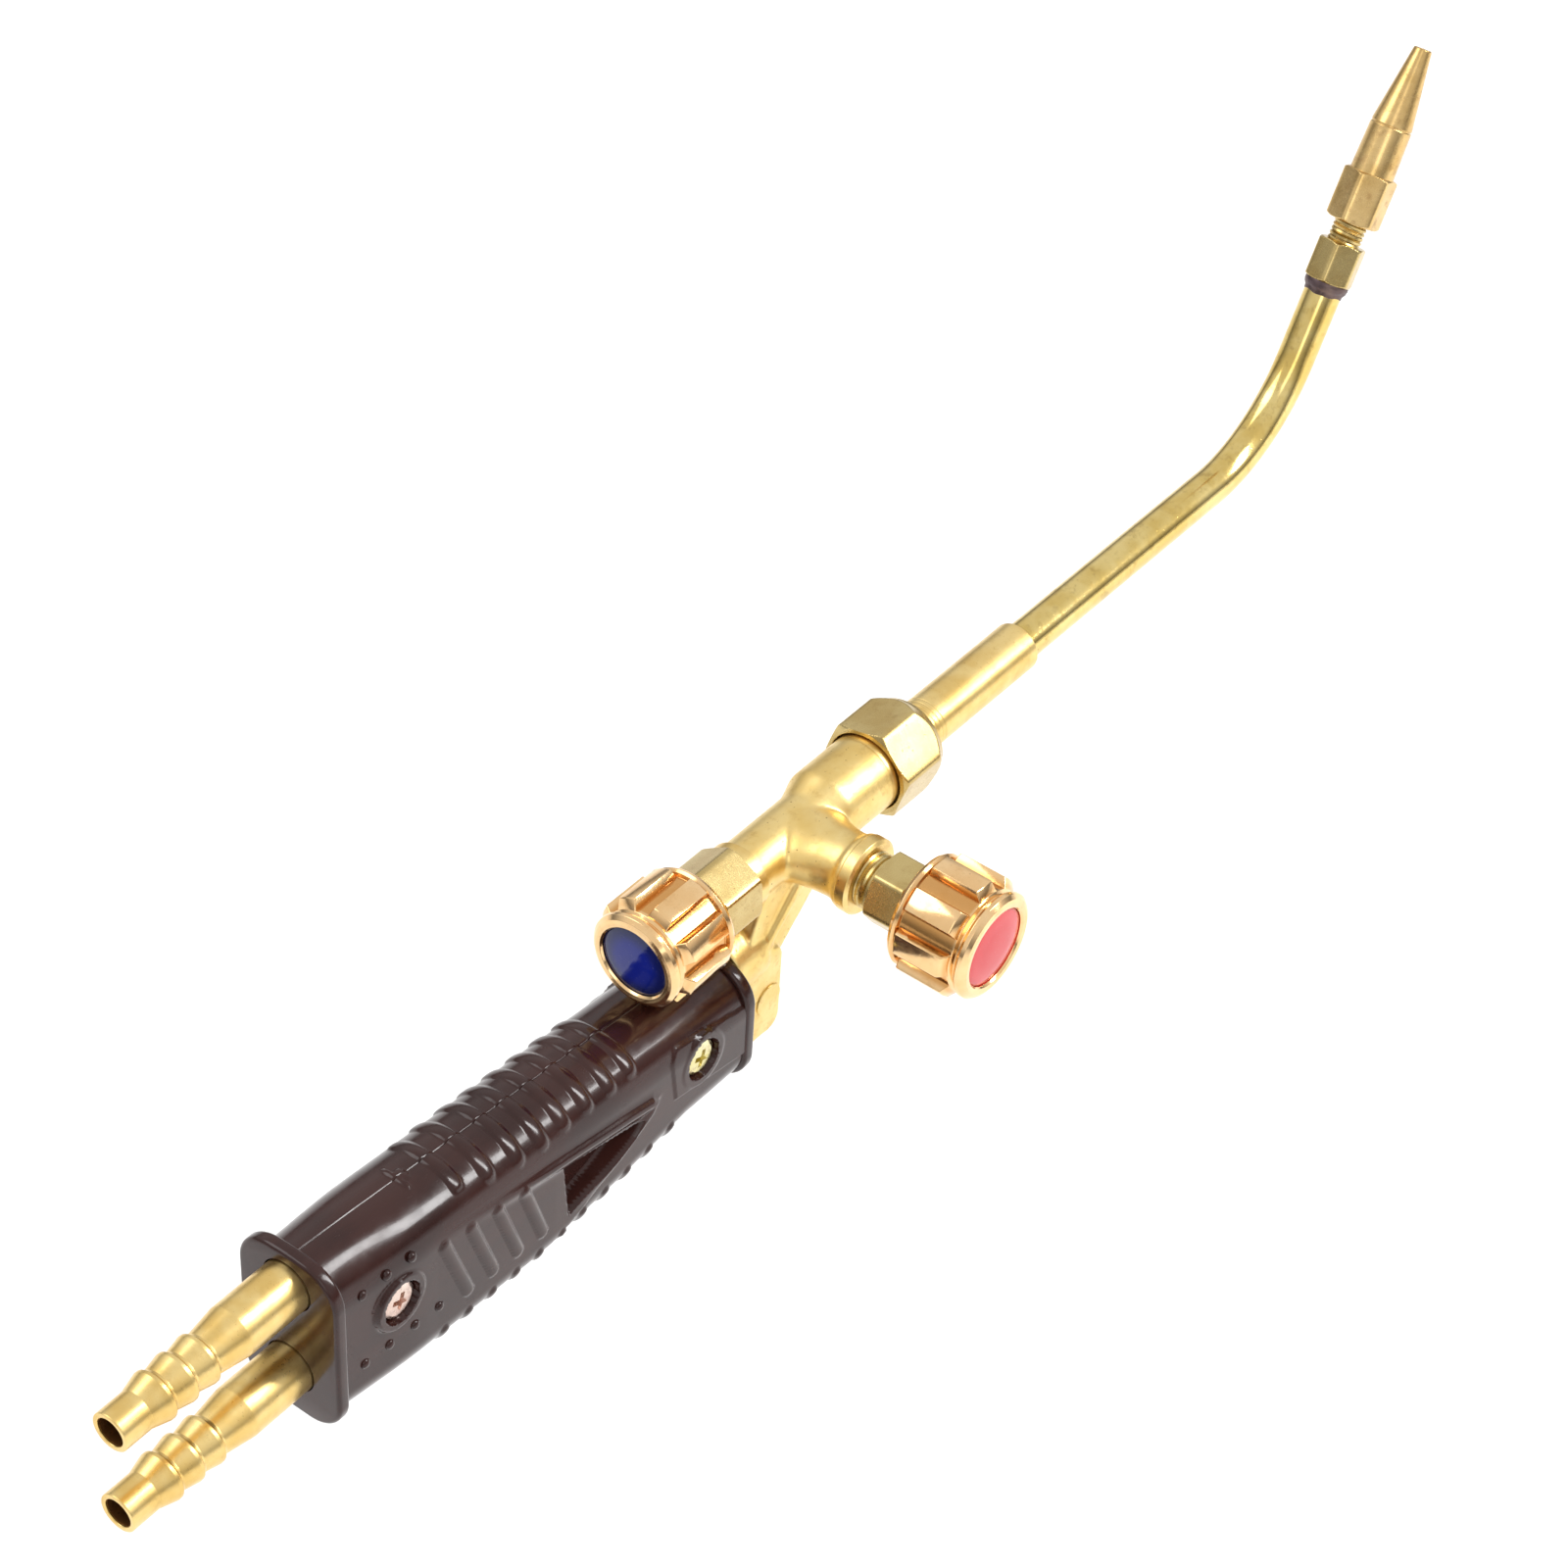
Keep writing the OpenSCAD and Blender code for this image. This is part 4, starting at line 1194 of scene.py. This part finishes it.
@dataclass
class Handle:
    """The moulded handle: two shells with ribs, leaf panel, window, bars, studs and screws."""

    rear: float = 43.0
    front: float = 161.5
    top_rear: float = 7.0
    top_front: float = -5.3
    plate: float = 2.9
    flange_half: float = 11.7
    rib_height: float = 0.5
    rib_half: float = 1.6
    window_depth: float = 3.9
    wall: float = 4.4
    belly_first: float = 72.0
    belly_pitch: float = 6.5
    belly_count: int = 11
    rear_screw: Point2 = (60.2, -11.2)
    front_screw: Point2 = (145.7, -15.6)
    ribs: tuple[Point2, ...] = ((126.2, -4.9), (120.0, -4.8), (113.3, -4.2), (106.7, -3.7), (100.2, -3.6),
                                (93.7, -2.7), (86.3, -0.9), (79.1, 1.3), (72.4, 4.0))
    bars: tuple[tuple[Point2, Point2], ...] = field(default_factory=lambda: tuple(
        ((71.8 + 7.1 * i, -6.4 - 1.05 * i), (78.0 + 6.8 * i, -23.4 - 0.45 * i)) for i in range(4)))

    def top(self, x: np.ndarray) -> np.ndarray:
        """Returns the seam's height along the handle."""
        fall = (self.top_front - self.top_rear) * (x - self.rear) / (self.front - self.rear)
        return self.top_rear + fall - 0.3 * self.step(-x, -62.0, -43.0)

    def half(self, x: np.ndarray) -> np.ndarray:
        """Returns half the handle's width, which swells behind the rear flange."""
        swell = self.step(x, self.rear - 2.0, 68.0)
        return 9.7 + 1.3 * swell

    def low(self, x: np.ndarray) -> np.ndarray:
        """Returns the height of the handle's underside."""
        return np.interp(x, [43, 50, 82, 97, 112, 124, 142, 161.5], [-32.4, -33.0, -35.0, -35.45, -35.3, -34.6, -32.3,
                                                                     -32.4])

    def section(self, x: np.ndarray, per: tuple[int, int, int, int, int]) -> tuple[np.ndarray, np.ndarray, np.ndarray]:
        """Returns the right half's section at each station.

        Args:
            x: The stations along the handle.
            per: Steps on the top flat, top corner, side, lower corner and lower flat.

        Returns:
            The points (station, step, 3), their outward normals and their distance from the top seam.
        """
        half, top, low = self.half(x), self.top(x), self.low(x)
        r1 = np.interp(x, [43, 52, 66, 161.5], [9.6, 9.7, 9.9, 9.3])
        r2 = np.full_like(x, 7.5)
        rows, norms = [], []
        edge = np.concatenate([[0, 0.06, 0.16, 0.3], np.linspace(0.3, 1, per[0] - 2)[1:]])
        for t in edge:
            rows.append(np.stack([x, -(half - r1) * t, top], 1))
            norms.append(np.stack([0 * x, 0 * x, 1 + 0 * x], 1))
        for t in np.linspace(0, math.pi / 2, per[1])[1:]:
            rows.append(np.stack([x, -(half - r1) - r1 * math.sin(t), top - r1 + r1 * math.cos(t)], 1))
            norms.append(np.stack([0 * x, -math.sin(t) + 0 * x, math.cos(t) + 0 * x], 1))
        for t in np.linspace(0, 1, per[2])[1:]:
            rows.append(np.stack([x, -half, (top - r1) * (1 - t) + (low + r2) * t], 1))
            norms.append(np.stack([0 * x, -1 + 0 * x, 0 * x], 1))
        for t in np.linspace(0, math.pi / 2, per[3])[1:]:
            rows.append(np.stack([x, -(half - r2) - r2 * math.cos(t), low + r2 - r2 * math.sin(t)], 1))
            norms.append(np.stack([0 * x, -math.cos(t) + 0 * x, -math.sin(t) + 0 * x], 1))
        for t in (1 - edge)[::-1][1:]:
            rows.append(np.stack([x, -(half - r2) * (1 - t), low], 1))
            norms.append(np.stack([0 * x, 0 * x, -1 + 0 * x], 1))
        points, normals = np.stack(rows, 1), np.stack(norms, 1)
        gaps = np.linalg.norm(np.diff(points, axis=1), axis=2)
        run = np.concatenate([np.zeros((len(x), 1)), np.cumsum(gaps, 1)], 1)
        return points, normals, run

    @staticmethod
    def step(value: np.ndarray, low: float, high: float) -> np.ndarray:
        """Returns a smooth step from 0 at low to 1 at high."""
        t = np.clip((np.asarray(value) - low) / (high - low), 0, 1)
        return t * t * (3 - 2 * t)

    @staticmethod
    def inside(px: np.ndarray, pz: np.ndarray, outline: Sequence[Point2]) -> np.ndarray:
        """Returns the signed distance to an outline in the side plane, positive inside it."""
        corners = np.array(outline, float)
        away = np.full(px.shape, 1e9)
        crossed = np.zeros(px.shape, bool)
        for (x0, z0), (x1, z1) in zip(corners, np.roll(corners, -1, 0)):
            dx, dz = x1 - x0, z1 - z0
            t = np.clip(((px - x0) * dx + (pz - z0) * dz) / (dx * dx + dz * dz), 0, 1)
            away = np.minimum(away, np.hypot(px - x0 - t * dx, pz - z0 - t * dz))
            if abs(dz) > 1e-9:
                crossed ^= ((pz < z0) != (pz < z1)) & (px < x0 + (pz - z0) * dx / dz)
        return np.where(crossed, away, -away)

    def relief(self, points: np.ndarray, run: np.ndarray) -> np.ndarray:
        """Returns how far each point of the right half stands out from the plain form."""
        x, y, z = points[..., 0], points[..., 1], points[..., 2]
        lift = np.zeros(x.shape)
        heights = points[:, :, 2]
        for rx, rz in self.ribs:
            end = np.array([np.interp(-rz, -h, r) for h, r in zip(heights, run)])[:, None]
            away = np.hypot(x - rx, np.maximum(run - end, 0))
            lift = np.maximum(lift, self.rib_height * np.sqrt(np.clip(1 - (away / self.rib_half) ** 2, 0, 1)) ** 0.8)
        foot = run[:, -1:] - run
        for i in range(self.belly_count):
            away = np.hypot(x - self.belly_first - self.belly_pitch * i, np.maximum(foot - 13.0, 0))
            lift = np.maximum(lift, 0.5 * np.sqrt(np.clip(1 - (away / 1.15) ** 2, 0, 1)))
        side = self.step(-y, 9.2, 10.4)
        leaf = self.inside(x, z, [(68.0, -2.9), (103.8, -8.8), (124.0, -12.7), (130.6, -14.1), (132.6, -15.9),
                                  (130.5, -18.6), (122.0, -23.0), (110.0, -28.5), (96.0, -34.0), (60.0, -34.0)])
        grow = np.clip((x - 70.0) / 32.0, 0, 1)
        lift += side * 0.5 * grow * self.step(leaf, 0.0, 0.8)
        rim = np.exp(-((leaf - 1.5) / 1.3) ** 2) * self.step(z, -27.0, -22.0) * self.step(x, 76.0, 104.0)
        lift += side * 0.65 * rim
        window = self.inside(x, z, [(104.3, -12.2), (127.6, -17.7), (124.5, -20.2), (116.0, -23.3), (105.9, -26.3)])
        lift -= side * self.window_depth * self.step(window, -0.1, 1.0)
        for (x0, z0), (x1, z1) in self.bars:
            dx, dz = x1 - x0, z1 - z0
            t = np.clip(((x - x0) * dx + (z - z0) * dz) / (dx * dx + dz * dz), 0, 1)
            away = np.hypot(x - x0 - t * dx, z - z0 - t * dz)
            lift += side * 0.55 * np.sqrt(np.clip(1 - (away / 1.35) ** 2, 0, 1))
        pad = self.inside(x, z, [(136.1, -10.4), (138.2, -7.6), (160.0, -11.8), (160.0, -24.4), (137.6, -20.6)])
        lift += side * 0.35 * self.step(pad, -0.1, 0.35)
        for sx, sz in (self.rear_screw, self.front_screw):
            away = np.hypot(x - sx, z - sz)
            ring = self.step(away, 6.5, 5.9)
            level = 11.5 - (-y + lift)
            lift += ring * level
            lift -= 2.0 * self.step(away, 4.55, 4.2)
        seam = np.minimum(run, foot)
        lift -= 0.2 * np.exp(-(seam / 0.12) ** 2)
        return lift

    def shell(self, stations: int = 330) -> Form:
        """Returns the right shell, a wall closed at its seam and its ends."""
        x = np.linspace(self.rear + self.plate - 0.6, self.front - self.plate + 0.6, stations)
        points, normals, run = self.section(x, (8, 34, 62, 28, 8))
        outer = points + normals * self.relief(points, run)[..., None]
        thin, thin_n, _ = self.section(x, (4, 5, 3, 5, 4))
        inner = thin - thin_n * self.wall
        inner[:, 0, 1] = inner[:, -1, 1] = 0.0
        outer[:, 0, 1] = outer[:, -1, 1] = 0.0
        count, small = outer.shape[1], inner.shape[1]
        verts = np.vstack([outer.reshape(-1, 3), inner.reshape(-1, 3)])
        base = stations * count
        faces: list[tuple[int, ...]] = []
        for i in range(stations - 1):
            faces += [(i * count + j, i * count + j + 1, (i + 1) * count + j + 1, (i + 1) * count + j)
                      for j in range(count - 1)]
            faces += [(base + i * small + j, base + (i + 1) * small + j, base + (i + 1) * small + j + 1,
                       base + i * small + j + 1) for j in range(small - 1)]
            for a, b in ((0, 0), (count - 1, small - 1)):
                faces.append((i * count + a, (i + 1) * count + a, base + (i + 1) * small + b, base + i * small + b))
        for i in (0, stations - 1):
            faces.append(tuple([i * count + j for j in range(count)]
                               + [base + i * small + j for j in reversed(range(small))]))
        return Form(verts, faces)

    def flange(self, x0: float, top: float, low: float, holes: bool) -> Form:
        """Returns the right half of an end plate with rounded edges.

        Args:
            x0: Where the plate starts.
            top: The height of its upper edge.
            low: The height of its lower edge.
            holes: Whether the two stems pass through it.

        Returns:
            The half plate.
        """
        half, r1, r2 = self.flange_half, 8.2, 7.6
        outline = [(0.0, top)]
        outline += [(-(half - r1) * 0.5, top - 0.02)]
        outline += [(-(half - r1) - r1 * math.sin(t), top - 0.15 - r1 + r1 * math.cos(t))
                    for t in np.linspace(0, math.pi / 2, 25)]
        outline += [(-(half - r2) - r2 * math.cos(t), low + r2 - r2 * math.sin(t))
                    for t in np.linspace(0, math.pi / 2, 25)]
        outline.append((0.0, low))
        flat = np.array(outline)
        tangents = np.gradient(flat, axis=0)
        normals = np.stack([-tangents[:, 1], tangents[:, 0]], 1)
        normals /= np.linalg.norm(normals, axis=1)[:, None]
        normals *= -np.sign((normals * (flat - flat.mean(0))).sum(1))[:, None]
        edge, t = 0.85, self.plate
        rings = [(x0 + edge - edge * math.sin(a), edge - edge * math.cos(a)) for a in np.linspace(math.pi / 2, 0, 6)]
        rings += [(x0 + t - edge + edge * math.sin(a), edge - edge * math.cos(a))
                  for a in np.linspace(0, math.pi / 2, 6)]
        verts, faces, count = [], [], len(flat)
        for x, inset in rings:
            ring = flat + normals * inset
            ring[0, 0] = ring[-1, 0] = 0.0
            ring[0, 1], ring[-1, 1] = top - inset, low + inset
            verts += [(x, y, z) for y, z in ring]
        for i in range(len(rings) - 1):
            faces += [(i * count + j, i * count + (j + 1) % count, (i + 1) * count + (j + 1) % count,
                       (i + 1) * count + j) for j in range(count)]
        faces += [tuple(range(count)), tuple((len(rings) - 1) * count + j for j in range(count))]
        form = Form(np.array(verts), faces)
        if holes:
            bores = [lathe([(self.rear - 1, 0.0), (self.rear - 1, 5.7), (self.rear + 0.15, 5.62), (self.rear + 0.5, 5.5),
                            (self.rear + 9, 5.5), (self.rear + 9, 0.0)], 72)
                     .moved(frame_at((0, 0, z), [(90, "Y")])) for z in (0.0, -TAIL_GAP)]
            form = carved(form, *bores)
        return form

    def screw(self) -> Form:
        """Returns a screw along Z, head first, with its cross recess."""
        head = soften([(0.0, 0.0), (0.06, 1.6), (0.2, 3.1), (0.55, 3.85), (1.2, 3.95), (1.6, 3.7), (1.6, 2.0),
                       (21.0, 2.0), (21.6, 1.5), (21.6, 0.0)], 0.18, 3)
        form = lathe(head, 96)
        slots = []
        for turn in (0.0, 90.0):
            corners = []
            for z, long, wide in ((-0.3, 2.35, 0.62), (1.35, 0.95, 0.34)):
                corners += [(a * long, b * wide, z) for a in (-1, 1) for b in (-1, 1)]
            slots.append(hulled(np.array(corners)).moved(frame_at((0, 0, 0), [(turn + 20.0, "Z")])))
        return carved(form, *slots)

    def studs(self, spots: Sequence[Point2]) -> Form:
        """Returns raised studs on the right side, each at one (x, z) of spots."""
        seed = Form(np.array([(x, 0.15 - float(self.half(np.array(x))), z) for x, z in spots]), [])
        return Studs().grow(seed, HANDLE, {"Radius": 1.1, "Rise": 0.75})

    def dress(self) -> None:
        """Builds both shells and their screws."""
        rear = self.flange(self.rear, 7.8, -32.7, True)
        front = self.flange(self.front - self.plate, -4.4, -33.1, False)
        shell = self.shell()
        lower = self.studs([(70.2, -21.1), (63.8, -20.6), (57.5, -20.6), (51.5, -20.8)])
        upper = self.studs([(63.4, -2.3), (57.3, -2.1), (51.4, -2.6)])
        both = shell.plus(rear, front, lower)
        flip = Matrix.Scale(-1, 4, Vector((0, 1, 0)))
        Piece("handle_shell_right_moulded", both.plus(upper), WHOLE, BODY, HANDLE, "handle_moulding",
              ("handle_shell_right",), 50.0).show()
        Piece("handle_shell_left_moulded", both.moved(flip), WHOLE, BODY, HANDLE, "handle_moulding",
              ("handle_shell_left",), 50.0).show()
        for name, (x, z), finish, slot in (("front", self.front_screw, YELLOW_ZINC, "yellow_zinc"),
                                           ("rear", self.rear_screw, BRONZED, "bronzed_steel")):
            Piece(f"handle_screw_{name}_cross", self.screw(), frame_at((x, -10.95, z), [(-90, "X")]), BODY,
                  finish, slot, (f"handle_screw_{name}",)).show()


# ---------------------------------------------------------------- stage


@dataclass
class Studio:
    """Camera, floor, lights and world."""

    eye: tuple[float, float, float] = (-0.2851, -0.3340, 0.5288)
    right: tuple[float, float, float] = (0.61434, -0.78760, 0.04758)
    up: tuple[float, float, float] = (0.49927, 0.43472, 0.74949)
    back: tuple[float, float, float] = (-0.61099, -0.43669, 0.66030)
    view_angle: float = 22.22
    floor_gap: float = 0.09
    floor_half: float = 40.0

    def camera(self) -> None:
        """Sets the camera."""
        lens = bpy.data.cameras.new("camera")
        lens.sensor_width = 36.0
        lens.angle = math.radians(self.view_angle)
        lens.clip_start, lens.clip_end = 0.01, 20.0
        cam = linked("camera", lens)
        axes = Matrix((self.right, self.up, self.back)).transposed().to_4x4()
        cam.matrix_world = Matrix.Translation(Vector(self.eye)) @ axes
        bpy.context.scene.camera = cam

    def floor(self) -> None:
        """Lays the pale floor under the torch."""
        mesh = bpy.data.meshes.new("floor")
        z = CAD_BOX[0].z - self.floor_gap
        half = self.floor_half
        corners = [(-half, -half, z), (half, -half, z), (half, half, z), (-half, half, z)]
        mesh.from_pydata(corners, [], [(0, 1, 2, 3)])
        material = bpy.data.materials.new("pale_floor")
        material.use_nodes = True
        shader = material.node_tree.nodes["Principled BSDF"]
        shader.inputs["Base Color"].default_value = (0.93, 0.93, 0.93, 1)
        shader.inputs["Roughness"].default_value = 0.9
        mesh.materials.append(material)
        obj = linked("floor", mesh)

    def light(self, name: str, at: tuple[float, float, float], size: tuple[float, float], power: float) -> None:
        """Adds one soft box that faces the torch.

        Args:
            name: The light's name.
            at: Its place in metres.
            size: Its width and height in metres.
            power: Its power in watts.
        """
        lamp = bpy.data.lights.new(name, "AREA")
        lamp.shape = "RECTANGLE"
        lamp.size, lamp.size_y = size
        lamp.energy = power
        obj = linked(name, lamp)
        aim = Vector((0.2, 0.0, 0.02)) - Vector(at)
        obj.rotation_mode = "QUATERNION"
        obj.rotation_quaternion = aim.to_track_quat("-Z", "Y")
        obj.location = Vector(at)

    def world(self) -> None:
        """Sets the soft white surroundings, a little darker near the horizon."""
        world = bpy.data.worlds.new("studio")
        world.use_nodes = True
        loom = Loom(world.node_tree)
        spot = loom.node("ShaderNodeTexCoord", out="Generated")
        split = loom.node("ShaderNodeSeparateXYZ", inputs={0: spot}, out="Z")
        tone = loom.mixed(split.ramp(-0.02, 0.45), (0.22, 0.22, 0.225), (1.0, 1.0, 1.0))
        back = world.node_tree.nodes["Background"]
        loom.tree.links.new(tone.socket, back.inputs["Color"])
        back.inputs["Strength"].default_value = 0.9
        bpy.context.scene.world = world

    def build(self) -> None:
        """Builds the whole stage."""
        self.camera()
        self.floor()
        self.world()
        self.light("key", (-0.35, 0.85, 1.15), (1.0, 0.8), 7.0)
        self.light("shoulder", (0.78, -0.70, 0.78), (0.22, 0.7), 10.0)
        self.light("fill", (-0.85, -0.7, 0.75), (0.4, 0.9), 1.6)
        bpy.context.scene.view_settings.view_transform = "Standard"


INNER = {
    "handle_nuts": STEEL, "oxygen_feed_pipe": INNER_BRASS, "fuel_feed_pipe": INNER_BRASS,
    "oxygen_spindle": STEEL, "fuel_spindle": STEEL, "oxygen_spindle_seal": SEAL, "fuel_spindle_seal": SEAL,
    "oxygen_knob_screw": STEEL, "fuel_knob_screw": STEEL, "injector": INNER_BRASS,
}


def dress_inner() -> None:
    """Gives each CAD node that stays its finish."""
    for name, finish in INNER.items():
        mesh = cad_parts[name].data
        mesh.materials.clear()
        mesh.materials.append(PAINT(finish))
        LOG.info("%s: dressed in %s", name, finish.name)


def main() -> None:
    """Builds the torch, piece by piece, and its stage."""
    logging.basicConfig(level=logging.INFO, format="%(name)s %(message)s")
    Studio().build()
    Handle().dress()
    HoseTail("oxygen_hose_tail", 0.0).dress()
    HoseTail("fuel_hose_tail", TAIL_GAP).dress()
    ValveBody().dress()
    Knob("oxygen", OXYGEN_VALVE, 11.6, 18.2, 15.0, 11.0, 0.0, BLUE, 29.0, 3.7).dress()
    Knob("fuel", FUEL_VALVE, 12.8, 17.8, 14.0, 8.7, 2.6, RED, 40.5, 6.5, WIDE_GILT, 1.1).dress()
    Neck().dress()
    Tip().dress()
    dress_inner()


if __name__ == "__main__":
    main()
